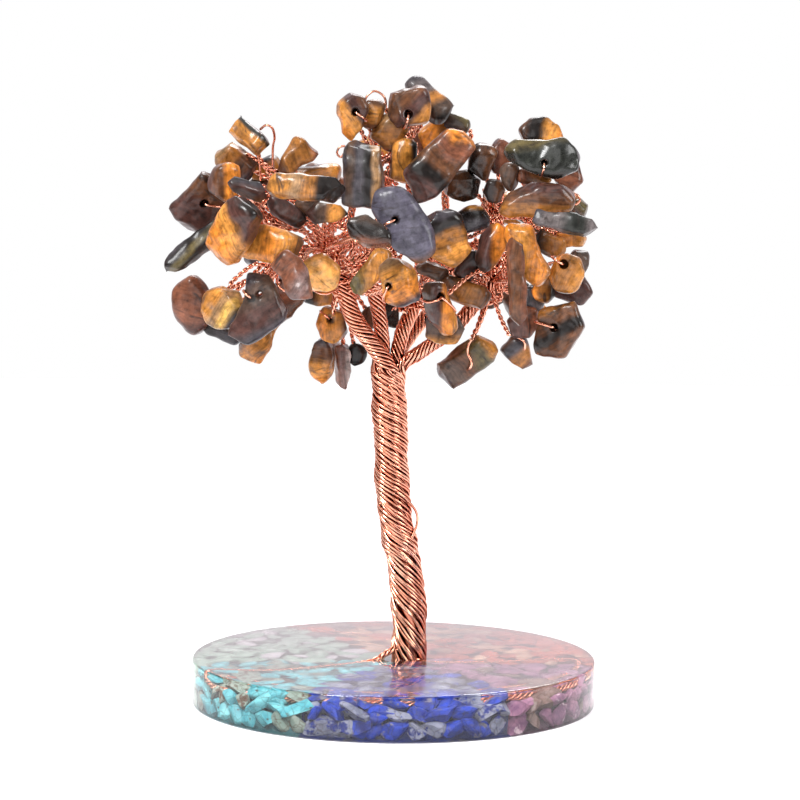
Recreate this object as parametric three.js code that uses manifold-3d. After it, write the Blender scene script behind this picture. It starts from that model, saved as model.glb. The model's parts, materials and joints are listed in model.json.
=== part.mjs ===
// A gemstone tree: tumbled tiger's-eye chips on a tree of twisted copper wire,
// whose foot is cast into a clear resin disc.
//
// Millimetres, +Z up, the front looking towards -Y. The origin is the centre of the disc's underside.

import * as THREE from 'three';
import { mergeVertices } from 'three/addons/utils/BufferGeometryUtils.js';
import Module from 'manifold-3d';

const wasm = await Module();
wasm.setup();

// Driving dimensions: the cast disc
const discDiameter = 81;
const discThickness = 9.3;
const discChamfer = 0.5;
const discSides = 48;
const footDepth = 4.5; // how far the trunk's foot reaches below the disc's top face
const sealGap = 0.3; // between the foot and the resin around it

// Driving dimensions: the copper wire
const forkHeight = 60.3; // from the disc's top face up to where the limbs part
const forkAside = -1.7; // the fork stands left of the disc's axis
const trunkDiameter = 7.2;
const trunkStrands = 10; // ridges of the twisted bundle
const trunkRelief = 0.35; // depth of the grooves between the ridges
const trunkLay = 30; // height in which a strand goes once around the trunk
const trunkRings = 17;
const limbSides = 5;
const limbStep = 5; // length of one facet along a limb
const knotRadius = 2; // the tufts in which the twigs part from a limb
const twigDiameter = 0.9; // two wires twisted together
const twigSides = 3;
const twigSteps = 2;

// Driving dimensions: the stones
const holeDiameter = 1.7; // drilled through a stone for its wire
const holeSides = 5;
const edgeShare = 0.16; // worn edge, as a share of a stone's smallest size
const sharpBehind = 2.5; // chips farther back than this keep sharp edges
const stoneGap = 0.3; // least distance between stones, and between a stone and its wire
const settleStep = 0.25;

// The crown is laid out as it is seen from the front and slightly from above,
// so what lies farther back sits lower by this slope and still shows at the same height.
const sightSlope = Math.tan(THREE.MathUtils.degToRad(5.4));

// Finishes, one for each kind of stone and for the disc and the wire
const finishes = {
  clear_resin: { color: 0xdfe8ea, roughness: 0.05, metalness: 0, transparent: true, opacity: 0.4 },
  copper: { color: 0xb8694a, roughness: 0.3, metalness: 1 },
  tiger_eye_gold: { color: 0xb0722c, roughness: 0.35, metalness: 0 },
  tiger_eye_brown: { color: 0x6f4526, roughness: 0.35, metalness: 0 },
  tiger_eye_plum: { color: 0x5a3d38, roughness: 0.4, metalness: 0 },
  tiger_eye_slate: { color: 0x5c5a66, roughness: 0.4, metalness: 0 },
  tiger_eye_dark: { color: 0x33261f, roughness: 0.3, metalness: 0 },
  tiger_eye_banded: { color: 0x94703c, roughness: 0.35, metalness: 0 },
  tiger_eye_honey: { color: 0xc8913f, roughness: 0.2, metalness: 0 },
};

function material(finish) {
  return new THREE.MeshStandardMaterial(finishes[finish]);
}

// Solids for joining and cutting
function solidOf(geometry) {
  const bare = geometry.clone();
  bare.deleteAttribute('normal');
  bare.deleteAttribute('uv');
  const merged = mergeVertices(bare, 1e-4);
  const vertProperties = new Float32Array(merged.attributes.position.array);
  const triVerts = new Uint32Array(merged.index.array);
  return new wasm.Manifold(new wasm.Mesh({ numProp: 3, vertProperties, triVerts }));
}

function geometryOf(solid) {
  const mesh = solid.getMesh();
  const geometry = new THREE.BufferGeometry();
  geometry.setAttribute('position', new THREE.BufferAttribute(mesh.vertProperties.slice(), 3));
  geometry.setIndex(new THREE.BufferAttribute(mesh.triVerts.slice(), 1));
  geometry.computeVertexNormals();
  return geometry;
}

function namedMesh(name, geometry, finish) {
  const mesh = new THREE.Mesh(geometry, material(finish));
  mesh.name = name;
  return mesh;
}

// Places in the crown: across and up from the fork as seen from the front, and depth away from the eye
function crownPoint([across, up, depth]) {
  return new THREE.Vector3(across, depth, up - depth * sightSlope);
}

// The trunk's line, as shares of its height above the disc and its distance to the side of the fork
const trunkBends = [
  [1, 0],
  [0.91, 0],
  [0.76, 0.9],
  [0.61, 1.3],
  [0.45, 2.5],
  [0.3, 4.2],
  [0.14, 5.1],
  [0, 5],
];
const footAside = trunkBends.at(-1)[1];

function trunkCurve() {
  const points = trunkBends.map(([share, aside]) => new THREE.Vector3(aside, 0, (share - 1) * forkHeight));
  points.push(new THREE.Vector3(footAside, 0, -forkHeight - footDepth + sealGap));
  return new THREE.CatmullRomCurve3(points.reverse());
}

// A bundle of wire along a curve: a cylinder bent onto it, with ridges that wind around it
function bundle(curve, { startRadius, endRadius, sides, steps, relief = 0, lay = Infinity }) {
  const geometry = new THREE.CylinderGeometry(1, 1, 1, sides, steps);
  const frames = curve.computeFrenetFrames(steps, false);
  const length = curve.getLength();
  const position = geometry.attributes.position;
  const vertex = new THREE.Vector3();
  for (let i = 0; i < position.count; i += 1) {
    vertex.fromBufferAttribute(position, i);
    const share = vertex.y + 0.5;
    const step = Math.round(share * steps);
    const side = Math.round(Math.atan2(vertex.x, vertex.z) / ((2 * Math.PI) / sides));
    const groove = Math.abs(side % 2) === 1 ? relief : 0;
    const radius = THREE.MathUtils.lerp(startRadius, endRadius, share) - groove;
    const reach = Math.hypot(vertex.x, vertex.z) * radius;
    const angle = (side * 2 * Math.PI) / sides + (2 * Math.PI * share * length) / lay;
    vertex.copy(curve.getPointAt(share));
    vertex.addScaledVector(frames.normals[step], reach * Math.sin(angle));
    vertex.addScaledVector(frames.binormals[step], -reach * Math.cos(angle));
    position.setXYZ(i, vertex.x, vertex.y, vertex.z);
  }
  return solidOf(geometry);
}

// Knots: the tufts where limbs end and twigs begin
const knots = {
  frontLeft: [-9, 15, -4],
  left: [-13, 22, -3],
  farLeft: [-22, 22, -1],
  highLeft: [-20, 34, 0.5],
  middle: [-3.2, 14.5, 0.5],
  highMiddle: [-2, 28, 0],
  crest: [1, 41, -1],
  middleRight: [6, 13, 3],
  highMiddleRight: [9, 28, 3],
  right: [20.5, 16, -3],
  highRight: [21.5, 29, -1],
  farRight: [30, 29, 0],
  lowRight: [28, 12, -1],
  backLeft: [-10, 18, 11],
  backRight: [12, 18, 11],
  backCrestLeft: [-7, 33, 10],
  backCrestRight: [11, 34, 10],
  farBackLeft: [-24, 18, 9],
  farBackRight: [27, 18, 9],
};

// Limbs: start, bends on the way, the knot they end in, and their thickness at both ends
const limbs = [
  { start: [-1.2, -1.4, -0.6], bends: [[-4.6, 3, -1.5], [-7.2, 8, -3]], knot: 'frontLeft', thick: [4, 2.6] },
  { start: [-0.4, -1.2, 0.6], bends: [[-1, 5, 0.8], [-2, 10, 1]], knot: 'middle', thick: [3.2, 2.4] },
  { start: [1.2, -1.2, 0.4], bends: [[2.8, 4, 1.2], [3.6, 7, 2]], knot: 'middleRight', thick: [3.2, 2.4] },
  { start: [1.6, -1.6, -0.9], bends: [[6.4, 1.6, -1.5], [13.4, 7, -2.5]], knot: 'right', thick: [2.8, 1.9] },
  { start: [-0.8, -1.2, 1.6], bends: [[-4, 4, 5], [-8, 11, 9]], knot: 'backLeft', thick: [3, 2] },
  { start: [0.9, -1.2, 1.7], bends: [[4, 4, 6], [9, 11, 9.5]], knot: 'backRight', thick: [3, 2] },
  { start: knots.frontLeft, bends: [], knot: 'left', thick: [2.2, 1.8] },
  { start: knots.left, bends: [], knot: 'farLeft', thick: [1.8, 1.4] },
  { start: knots.left, bends: [[-16, 29, 0]], knot: 'highLeft', thick: [1.7, 1.3] },
  { start: knots.middle, bends: [[-3, 22, 0]], knot: 'highMiddle', thick: [2.2, 1.8] },
  { start: knots.highMiddle, bends: [], knot: 'crest', thick: [1.7, 1.3] },
  { start: knots.middleRight, bends: [[8, 20, 4]], knot: 'highMiddleRight', thick: [2, 1.6] },
  { start: knots.middleRight, bends: [[11.4, 15.8, 0.5]], knot: 'right', thick: [1.7, 1.5] },
  { start: knots.right, bends: [], knot: 'highRight', thick: [1.9, 1.5] },
  { start: knots.highRight, bends: [], knot: 'farRight', thick: [1.5, 1.2] },
  { start: knots.right, bends: [], knot: 'lowRight', thick: [1.5, 1.2] },
  { start: knots.backLeft, bends: [], knot: 'backCrestLeft', thick: [1.7, 1.3] },
  { start: knots.backRight, bends: [], knot: 'backCrestRight', thick: [1.7, 1.3] },
  { start: knots.backLeft, bends: [], knot: 'farBackLeft', thick: [1.6, 1.3] },
  { start: knots.backRight, bends: [], knot: 'farBackRight', thick: [1.6, 1.3] },
];

function limbCurve({ start, bends, knot }) {
  return new THREE.CatmullRomCurve3([start, ...bends, knots[knot]].map(crownPoint));
}

// Outlines of the chips, as shares of half the length and half the width
const outlines = {
  block: [[-1, -0.75], [-0.85, -1], [0.95, -0.9], [1, 0.7], [0.75, 1], [-0.95, 0.85]],
  slab: [[-1, -0.4], [-0.75, -0.95], [0.8, -1], [1, -0.3], [0.85, 0.9], [-0.7, 1]],
  oval: [[-1, 0.05], [-0.6, -0.85], [0.4, -1], [1, -0.25], [0.7, 0.8], [-0.4, 1]],
  drop: [[-1, -0.15], [-0.4, -0.75], [0.45, -1], [0.95, -0.5], [1, 0.3], [0.5, 0.95], [-0.75, 0.5]],
  wedge: [[-1, -0.35], [0.75, -1], [1, -0.5], [0.85, 0.9], [-0.85, 0.45]],
  finger: [[-1, -0.25], [-0.8, -0.85], [0.75, -1], [1, 0.1], [0.8, 0.9], [-0.85, 0.85]],
  shard: [[-1, -0.8], [0.6, -1], [1, -0.1], [0.1, 1], [-0.8, 0.6]],
  round: [[-0.95, -0.3], [-0.45, -0.95], [0.4, -0.95], [1, -0.2], [0.75, 0.75], [0, 1], [-0.75, 0.75]],
  dome: [[-1, -0.65], [-0.85, -1], [0.95, -0.6], [1, -0.1], [0.65, 0.85], [-0.1, 1], [-0.7, 0.6]],
  shield: [[-0.9, -0.95], [0.2, -0.9], [1, 0.15], [0.6, 1], [-0.75, 0.7], [-0.95, -0.05]],
  leaf: [[-1.05, -0.8], [-0.5, -1], [0.9, -0.3], [1, 0.05], [0.2, 1], [-0.3, 0.97], [-0.5, 0.15]],
  pebble: [[-1, -0.2], [-0.7, -0.8], [0.35, -1], [0.95, -0.5], [0.95, 0.3], [0.4, 0.85], [-0.7, 0.7]],
  boot: [[-1, -0.85], [-0.35, -1], [-0.05, -0.45], [0.8, -0.2], [1, 0.2], [0.3, 0.9], [-0.05, 0.95]],
};

// The thinner end of a chip against its thicker end
const thinEnd = 0.75;

// One chip: its outline, place in the crown, length, width and thickness, and its turn in degrees.
// The spin is anticlockwise as seen from the front, the yaw turns the face to the right,
// the tip turns it up, and drilled gives the hole's place as shares like the outline's.
function stone(outline, place, size, [spin, yaw, tip], drilled) {
  const matrix = new THREE.Matrix4()
    .makeRotationX(THREE.MathUtils.degToRad(-tip))
    .multiply(new THREE.Matrix4().makeRotationZ(THREE.MathUtils.degToRad(yaw)))
    .multiply(new THREE.Matrix4().makeRotationX(Math.PI / 2))
    .multiply(new THREE.Matrix4().makeRotationZ(THREE.MathUtils.degToRad(spin)));
  matrix.setPosition(crownPoint(place));
  return { outline: outlines[outline], size, drilled, matrix, worn: place[2] < sharpBehind };
}

function stoneGeometry({ outline, size, matrix, worn }, grow = 0) {
  const [length, width, thickness] = size.map((extent) => extent + 2 * grow);
  const edge = worn ? edgeShare * Math.min(length, width, thickness) : 0;
  const corners = outline.map(([x, y]) => new THREE.Vector2(x * (length / 2 - edge), y * (width / 2 - edge)));
  const geometry = new THREE.ExtrudeGeometry(new THREE.Shape(corners), {
    depth: thickness - 2 * edge,
    bevelEnabled: worn,
    bevelThickness: edge,
    bevelSize: edge,
    bevelSegments: 1,
    steps: 1,
  });
  geometry.translate(0, 0, edge - thickness / 2);
  const position = geometry.attributes.position;
  for (let i = 0; i < position.count; i += 1) {
    const share = position.getX(i) / length + 0.5;
    position.setZ(i, position.getZ(i) * THREE.MathUtils.lerp(thinEnd, 1, share));
  }
  return geometry.applyMatrix4(matrix);
}

function stoneSolid(chip) {
  const solid = solidOf(stoneGeometry(chip));
  if (!chip.drilled) {
    return solid;
  }
  const [length, width, thickness] = chip.size;
  const [x, y] = chip.drilled;
  const drill = new THREE.CylinderGeometry(holeDiameter / 2, holeDiameter / 2, 2 * thickness, holeSides);
  drill.rotateX(Math.PI / 2).translate((x * length) / 2, (y * width) / 2, 0);
  return solid.subtract(solidOf(drill.applyMatrix4(chip.matrix)));
}

// The stones, from the front of the crown to its back in each part of it.
// Chips that touch each other are one fused piece.
const stones = {
  chip_top_front: ['tiger_eye_brown', [
    stone('slab', [3.5, 50.3, -6], [8.2, 7.6, 5], [15, 12, 10], [-0.2, -0.4]),
  ]],
  chip_top_back: ['tiger_eye_slate', [stone('wedge', [7.6, 52, 0], [10.6, 6, 4.5], [-42, 20, 25])]],
  chip_top_pair_left: ['tiger_eye_banded', [
    stone('drop', [-7.5, 47.9, -6], [9.2, 5.8, 4], [82, 10, 0], [0.3, -0.05]),
  ]],
  chips_top_inner: ['tiger_eye_brown', [
    stone('finger', [-3.6, 48.8, -0.5], [6.4, 4, 3.6], [75, -20, 0]),
    stone('slab', [-0.2, 45.4, -0.5], [7, 5.6, 4.2], [60, 10, 0]),
    stone('block', [2.4, 40, -1.6], [8.4, 4.8, 4.4], [80, 15, 0]),
  ]],
  chip_high_left_block: ['tiger_eye_gold', [stone('block', [-28, 44.4, -4], [9.2, 4.8, 5], [-43, -22, 24])]],
  chip_high_left_slab: ['tiger_eye_brown', [
    stone('slab', [-30.4, 39.4, -1], [8.4, 5.4, 5], [-30, -10, -18]),
  ]],
  chip_high_left_boot: ['tiger_eye_brown', [stone('boot', [-18.4, 40.3, -2], [8.6, 7.8, 4], [0, 10, 0])]],
  chip_left_plum: ['tiger_eye_plum', [
    stone('slab', [-37.4, 31, -5], [13, 9, 4.2], [52, 18, -22], [0.1, 0]),
  ]],
  chip_left_orange_wedge: ['tiger_eye_gold', [stone('dome', [-32.6, 35, -9], [7.8, 5.6, 5], [80, 28, 0])]],
  chip_left_thin_grey: ['tiger_eye_slate', [
    stone('finger', [-27.6, 33.9, -10], [8, 3.2, 4.4], [-14, 0, 38]),
  ]],
  chip_left_long_gold: ['tiger_eye_gold', [
    stone('finger', [-16.4, 34.1, -12], [15.6, 4.8, 4.8], [-2, 0, 12]),
  ]],
  chip_left_orange: ['tiger_eye_gold', [stone('block', [-30.2, 25.6, -10], [13, 7.8, 6], [58, -28, 6])]],
  chip_left_gold_block: ['tiger_eye_gold', [
    stone('block', [-24, 23, -15], [12.6, 7.4, 6.6], [-14, -20, 12]),
  ]],
  chip_left_long_dark: ['tiger_eye_slate', [stone('finger', [-38.4, 22.5, -7], [15.4, 4.2, 4], [40, 0, 24])]],
  chips_left_plum_trio: ['tiger_eye_plum', [
    stone('drop', [-20, 29.1, -8], [9.4, 4, 4], [150, 0, 18]),
    stone('block', [-16.3, 30.4, -7], [5, 3.6, 3.4], [10, 0, 0]),
    stone('oval', [-12.4, 29.3, -8.5], [8, 4.6, 3.8], [4, 10, 10]),
  ]],
  chips_left_low_pair: ['tiger_eye_plum', [
    stone('oval', [-38.8, 10.6, -2], [11.2, 7.8, 5.6], [97, -18, 0]),
    stone('finger', [-32.8, 5.2, -2], [8, 3.4, 3.4], [-20, 0, 0]),
  ]],
  chip_left_banded: ['tiger_eye_banded', [stone('round', [-33, 10.5, -8], [9, 8.4, 4.8], [0, -20, 6])]],
  chip_left_big_slate: ['tiger_eye_slate', [
    stone('leaf', [-25.4, 10.4, -12], [11.6, 14, 3.6], [0, -8, 4], [0.05, 0.4]),
  ]],
  chip_left_gold_edge: ['tiger_eye_gold', [stone('wedge', [-24.6, 5.2, -7], [13, 6, 3.4], [235, 10, 0])]],
  chip_left_reddish: ['tiger_eye_plum', [stone('shard', [-18.4, 17, -17], [11, 6, 4.6], [-50, -12, 8])]],
  chip_left_honey: ['tiger_eye_honey', [stone('oval', [-13.4, 17.4, -12], [8.2, 6.6, 4.6], [-30, 10, 0])]],
  chip_under_orange: ['tiger_eye_gold', [
    stone('oval', [-11.4, 6.6, 3], [7.8, 6.2, 3.6], [-65, 8, 0], [-0.4, 0.05]),
  ]],
  chip_under_long: ['tiger_eye_gold', [stone('oval', [-13.3, -0.6, 4], [10.6, 4.6, 4], [88, -10, 0])]],
  chips_under_pair: ['tiger_eye_brown', [
    stone('wedge', [-9.4, -1.6, 5], [10, 4.4, 4], [92, 12, 0]),
    stone('oval', [-6.4, 0.6, 6.6], [5, 4, 3.4], [80, 0, 0]),
  ]],
  chips_behind_fork: ['tiger_eye_dark', [
    stone('block', [0.4, 9.4, 8], [6.4, 4.4, 3.4], [80, 0, 0]),
    stone('oval', [-3.6, 8, 8], [5.4, 4.6, 3.4], [60, 0, 0]),
  ]],
  chip_middle_slab: ['tiger_eye_banded', [stone('block', [-5, 37, -13], [13.4, 8, 5.6], [86, -16, 6])]],
  chip_middle_oval: ['tiger_eye_dark', [stone('oval', [-3.8, 25.6, -22], [10, 5, 4.6], [-24, 0, 22])]],
  chip_middle_tear: ['tiger_eye_slate', [
    stone('pebble', [3, 27.6, -19], [16.4, 9.4, 4], [-54, -6, 4], [-0.16, -0.22]),
  ]],
  chip_middle_striped: ['tiger_eye_banded', [stone('slab', [9.6, 39.4, -13], [17, 7.6, 6], [52, 12, 8])]],
  chip_middle_yellow: ['tiger_eye_gold', [stone('oval', [11, 25, -13], [13, 8.4, 5], [-66, 18, 0])]],
  chip_middle_olive: ['tiger_eye_gold', [stone('finger', [-3.8, 17.4, -14], [11.2, 4.6, 4], [46, 0, 14])]],
  chip_middle_drilled: ['tiger_eye_gold', [
    stone('slab', [2, 16, -17.5], [9.6, 6.4, 5.4], [-78, -24, 0], [0.1, -0.35]),
  ]],
  chip_front_stub: ['tiger_eye_gold', [
    stone('finger', [10.1, 10.5, -14], [11.4, 5.2, 5.2], [-72, 30, 0], [-0.5, 0]),
  ]],
  chip_front_grey_rim: ['tiger_eye_slate', [stone('round', [11.2, 6.6, -9], [8, 6.4, 3.4], [10, 0, 0])]],
  chips_front_brown_logs: ['tiger_eye_brown', [
    stone('finger', [8.6, 17.6, -8], [7, 3.6, 3.6], [-22, 0, 0]),
    stone('block', [14.6, 13.9, -8], [10, 4.4, 4.4], [-22, 0, 10]),
    stone('slab', [15.6, 18.6, -7], [7.4, 3.6, 3.4], [60, 0, 0]),
  ]],
  chip_low_big: ['tiger_eye_brown', [stone('slab', [15, -0.3, -6], [13.4, 6.2, 5], [35, 10, -14])]],
  chip_low_small: ['tiger_eye_banded', [stone('wedge', [25.9, 1.4, -4], [7.2, 5.6, 3.6], [128, 0, 0])]],
  chip_right_curved: ['tiger_eye_dark', [stone('dome', [16, 28, -8], [6.8, 5, 4], [10, 0, 10])]],
  chips_right_dark_trio: ['tiger_eye_dark', [
    stone('block', [17.8, 39.5, -5], [6.8, 5, 4.6], [70, 0, 0]),
    stone('oval', [14.6, 34.8, -5], [7.6, 6.4, 5], [30, 0, 0]),
    stone('slab', [21.8, 40.6, -3], [6.4, 5.4, 4], [50, 20, 0]),
  ]],
  chip_right_big_green: ['tiger_eye_dark', [
    stone('drop', [29.6, 40.9, -9], [15.2, 8.2, 5], [-7, 6, 6], [0.05, -0.35]),
  ]],
  chips_right_small_trio: ['tiger_eye_brown', [
    stone('drop', [23.4, 36.7, -9], [5.6, 4.4, 3.4], [90, 0, 0]),
    stone('oval', [20.4, 33.8, -7.5], [5.4, 4.4, 4], [70, 0, 0]),
    stone('finger', [28, 36.4, -9], [7.6, 2.8, 2.6], [-6, 0, 10]),
  ]],
  chip_right_long_slab: ['tiger_eye_gold', [stone('dome', [28.8, 32, -14], [14.6, 6.8, 5.4], [4, 0, -8])]],
  chip_right_grey_finger: ['tiger_eye_slate', [
    stone('finger', [34, 27.6, -15], [14.4, 3.6, 3.6], [-12, 0, 20]),
  ]],
  chip_right_dark_orange: ['tiger_eye_gold', [stone('drop', [19.8, 22.2, -13], [10, 5, 4.6], [70, 28, 0])]],
  chip_right_long_orange: ['tiger_eye_gold', [stone('slab', [27, 22, -13], [13.2, 5.6, 5], [-64, -10, 0])]],
  chip_right_long_finger: ['tiger_eye_brown', [
    stone('finger', [24.8, 16.4, -17], [18, 3.8, 3.8], [-85, 10, 0]),
  ]],
  chip_right_heart: ['tiger_eye_gold', [
    stone('round', [35, 18, -11], [7.6, 8, 3.8], [0, -8, 0], [-0.15, 0.42]),
  ]],
  chips_right_inner_pair: ['tiger_eye_brown', [
    stone('slab', [31.4, 23.8, -6], [6.6, 4.8, 4], [-20, 0, 0]),
    stone('finger', [35.6, 24.4, -6], [6.6, 3.6, 3.4], [10, 0, 0]),
  ]],
  chips_right_outer_pair: ['tiger_eye_plum', [
    stone('oval', [37.2, 19.6, -3.4], [6.4, 4.8, 3.4], [60, 0, 0]),
    stone('shard', [36.6, 15, -4], [8, 5.8, 3.6], [-12, 0, 0]),
  ]],
  chips_right_lower_trio: ['tiger_eye_brown', [
    stone('drop', [31, 15.2, -7], [6.4, 4.4, 3.6], [-100, 0, 0]),
    stone('block', [28.4, 12.4, -5], [5.4, 4.4, 3.4], [70, 0, 0]),
    stone('oval', [26.6, 8, -6], [7, 6, 3.6], [60, 0, 0]),
  ]],
  chip_right_low_big: ['tiger_eye_brown', [
    stone('shield', [33.6, 6.4, -8], [10.4, 11.8, 5], [0, -10, 6], [-0.15, 0.12]),
  ]],
  chips_back_crest: ['tiger_eye_brown', [
    stone('finger', [13.2, 47.6, 5], [5.6, 3.4, 3.4], [-20, 0, 0]),
    stone('slab', [9.6, 45.6, 7], [9, 5.6, 4.6], [40, 15, 0]),
    stone('oval', [3.6, 43.8, 9], [9.6, 6.4, 4.6], [-20, 0, 0]),
    stone('block', [-2.8, 42.6, 10], [9, 5.6, 4.6], [25, 0, 0]),
  ]],
  chips_back_high_left: ['tiger_eye_banded', [
    stone('finger', [-14.6, 37, 4], [9.6, 3.6, 4], [0, 0, 0]),
    stone('block', [-16.4, 35, 7], [8.6, 6, 5], [30, 10, 0]),
    stone('oval', [-13, 35, 11.4], [9.6, 6, 5], [-30, 0, 0]),
  ]],
  chips_back_left: ['tiger_eye_plum', [
    stone('slab', [-25, 37.8, 3], [6.4, 4.6, 4], [20, 0, 0]),
    stone('oval', [-25.8, 33.6, 5], [8.6, 6.4, 5], [60, 0, 0]),
    stone('block', [-29, 28.4, 8], [9, 6.6, 5], [110, 0, 0]),
    stone('drop', [-26, 23, 11], [10, 6.4, 4.6], [60, 10, 0]),
  ]],
  chips_back_high_right: ['tiger_eye_brown', [
    stone('dome', [30, 45.6, -3], [8.8, 5.4, 4], [-16, 0, 12]),
    stone('slab', [32.6, 41.6, 0], [9, 6, 5], [-40, 0, 0]),
    stone('oval', [35, 37.4, -1.5], [7.6, 5.6, 4.6], [-70, 0, 0]),
  ]],
  chips_back_right: ['tiger_eye_gold', [
    stone('finger', [37.4, 30.4, 1], [5, 3.6, 4], [70, 0, 0]),
    stone('slab', [34.4, 30, 3.4], [8.6, 6.6, 5], [20, 0, 0]),
    stone('block', [29.8, 29, 7], [9, 6.4, 5], [-40, 10, 0]),
    stone('oval', [24, 30.4, 10.6], [10, 6.6, 5], [20, 0, 0]),
  ]],
  chips_back_low_left: ['tiger_eye_gold', [
    stone('slab', [-21, 12, 12], [10, 6.6, 5], [60, 10, 0]),
    stone('oval', [-15, 13.4, 16], [9.6, 6, 5], [-20, 0, 0]),
    stone('block', [-8.6, 16, 19], [9.4, 6.6, 5], [30, 0, 0]),
    stone('drop', [-2.6, 21.6, 21], [10, 6.4, 4.6], [70, 0, 0]),
    stone('round', [1.4, 28.4, 21.6], [8.6, 7, 4.6], [20, 10, 0]),
  ]],
  chips_back_low_right: ['tiger_eye_brown', [
    stone('block', [27.4, 10.8, 10.4], [9.6, 6.6, 5], [-60, 10, 0]),
    stone('slab', [22.6, 14.6, 14], [9.6, 6.2, 5], [20, 0, 0]),
    stone('oval', [16.8, 13.6, 18], [9.6, 6.6, 5], [-30, 0, 0]),
    stone('drop', [11.4, 18, 20.6], [9.6, 6, 4.6], [-50, 0, 0]),
    stone('shield', [12.4, 23.6, 21.4], [8.6, 7.6, 4.6], [40, -10, 0]),
  ]],
};

// Clearance between convex chips: the widest gap along any face normal or pair of edges
function prismOf({ outline, size, matrix }) {
  const [length, width, thickness] = size;
  const across = outline.map(([x, y]) => new THREE.Vector3((x * length) / 2, (y * width) / 2, 0));
  const rise = new THREE.Vector3(0, 0, thickness / 2);
  const points = across.flatMap((point) => [point.clone().add(rise), point.clone().sub(rise)]);
  const edges = across.map((point, i) => across[(i + 1) % across.length].clone().sub(point).normalize());
  const face = new THREE.Vector3(0, 0, 1);
  const turn = (vector) => vector.clone().transformDirection(matrix);
  return {
    points: points.map((point) => point.applyMatrix4(matrix)),
    edges: [...edges, face].map(turn),
    normals: [...edges.map((edge) => edge.clone().cross(face)), face].map(turn),
  };
}

function span(points, axis, shift) {
  const along = points.map((point) => point.dot(axis) + shift.dot(axis));
  return [Math.min(...along), Math.max(...along)];
}

function gapBetween(a, b) {
  const crossed = a.edges.flatMap((edge) => b.edges.map((other) => edge.clone().cross(other)));
  const axes = [...a.normals, ...b.normals, ...crossed.filter((axis) => axis.lengthSq() > 1e-3)];
  return Math.max(...axes.map((axis) => {
    const unit = axis.clone().normalize();
    const [aLow, aHigh] = span(a.points, unit, a.shift);
    const [bLow, bHigh] = span(b.points, unit, b.shift);
    return Math.max(aLow - bHigh, bLow - aHigh);
  }));
}

// A point's clearance from a chip, taken as a box
function pointClearance(point, { size, matrix }, shift) {
  const local = point.clone().sub(shift).applyMatrix4(matrix.clone().invert());
  return Math.max(
    Math.abs(local.x) - size[0] / 2,
    Math.abs(local.y) - size[1] / 2,
    Math.abs(local.z) - size[2] / 2,
  );
}

// Each piece of stone settles outwards along the line of sight until it clears what is nearer the middle
const sightLine = crownPoint([0, 0, 1]);
const limbPoints = limbs.flatMap((limb) => {
  const curve = limbCurve(limb);
  return curve.getSpacedPoints(16).map((point) => ({ point, radius: Math.max(...limb.thick) / 2 }));
});

function settle(pieces) {
  const settled = [];
  const order = [...pieces].sort((a, b) => Math.abs(a.depth) - Math.abs(b.depth));
  for (const piece of order) {
    const away = sightLine.clone().multiplyScalar(Math.sign(piece.depth) * settleStep);
    const crowded = () =>
      piece.chips.some((chip) => limbPoints.some(
        ({ point, radius }) => pointClearance(point, chip, piece.shift) < radius + stoneGap,
      )) ||
      settled.some((other) => piece.prisms.some(
        (prism) => other.prisms.some((nearby) => gapBetween(prism, nearby) < stoneGap),
      ));
    while (crowded()) {
      piece.shift.add(away);
    }
    settled.push(piece);
  }
}

const pieces = Object.entries(stones).map(([name, [finish, chips]]) => {
  const shift = new THREE.Vector3();
  const prisms = chips.map((chip) => ({ ...prismOf(chip), shift }));
  const depths = chips.map((chip) => new THREE.Vector3().setFromMatrixPosition(chip.matrix).y);
  return { name, finish, chips, prisms, shift, depth: depths.reduce((sum, y) => sum + y, 0) / depths.length };
});
settle(pieces);

// Twigs: each piece hangs on one from a near knot, by the first way that passes the other chips
const knotPoints = Object.values(knots).map(crownPoint);
const bows = [0, 2, -2, 4, -4, 6, -6, 9, -9];
const nearKnots = 5;

function twigCurve(knot, tip, bow, lift) {
  const middle = knot.clone().add(tip).multiplyScalar(0.5);
  middle.add(new THREE.Vector3(bow, 0, lift));
  return new THREE.CatmullRomCurve3([knot, middle, tip]);
}

function blockedPoints(curve, own) {
  const samples = curve.getSpacedPoints(14).slice(1);
  const clear = twigDiameter / 2 + stoneGap;
  return samples.filter((point) => pieces.some((piece) => piece.chips.some(
    (chip) => chip !== own && pointClearance(point, chip, piece.shift) < clear,
  ))).length;
}

// A piece hangs on its chip that is nearest to a knot
function twigTo({ chips, shift }) {
  const hangs = chips.map((chip) => {
    const tip = new THREE.Vector3().setFromMatrixPosition(chip.matrix).add(shift);
    const near = [...knotPoints].sort((a, b) => a.distanceTo(tip) - b.distanceTo(tip)).slice(0, nearKnots);
    return { chip, tip, near };
  });
  hangs.sort((a, b) => a.tip.distanceTo(a.near[0]) - b.tip.distanceTo(b.near[0]));
  const { chip, tip, near } = hangs[0];
  const ways = near.flatMap((knot) => bows.flatMap((bow) => bows.map((lift) => ({ knot, bow, lift }))));
  let best = null;
  for (const { knot, bow, lift } of ways) {
    const curve = twigCurve(knot, tip, bow, lift);
    const blocked = blockedPoints(curve, chip);
    if (best === null || blocked < best.blocked) {
      best = { curve, blocked, steps: bow === 0 && lift === 0 ? 1 : twigSteps };
    }
    if (blocked === 0) {
      break;
    }
  }
  return best;
}

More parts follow.
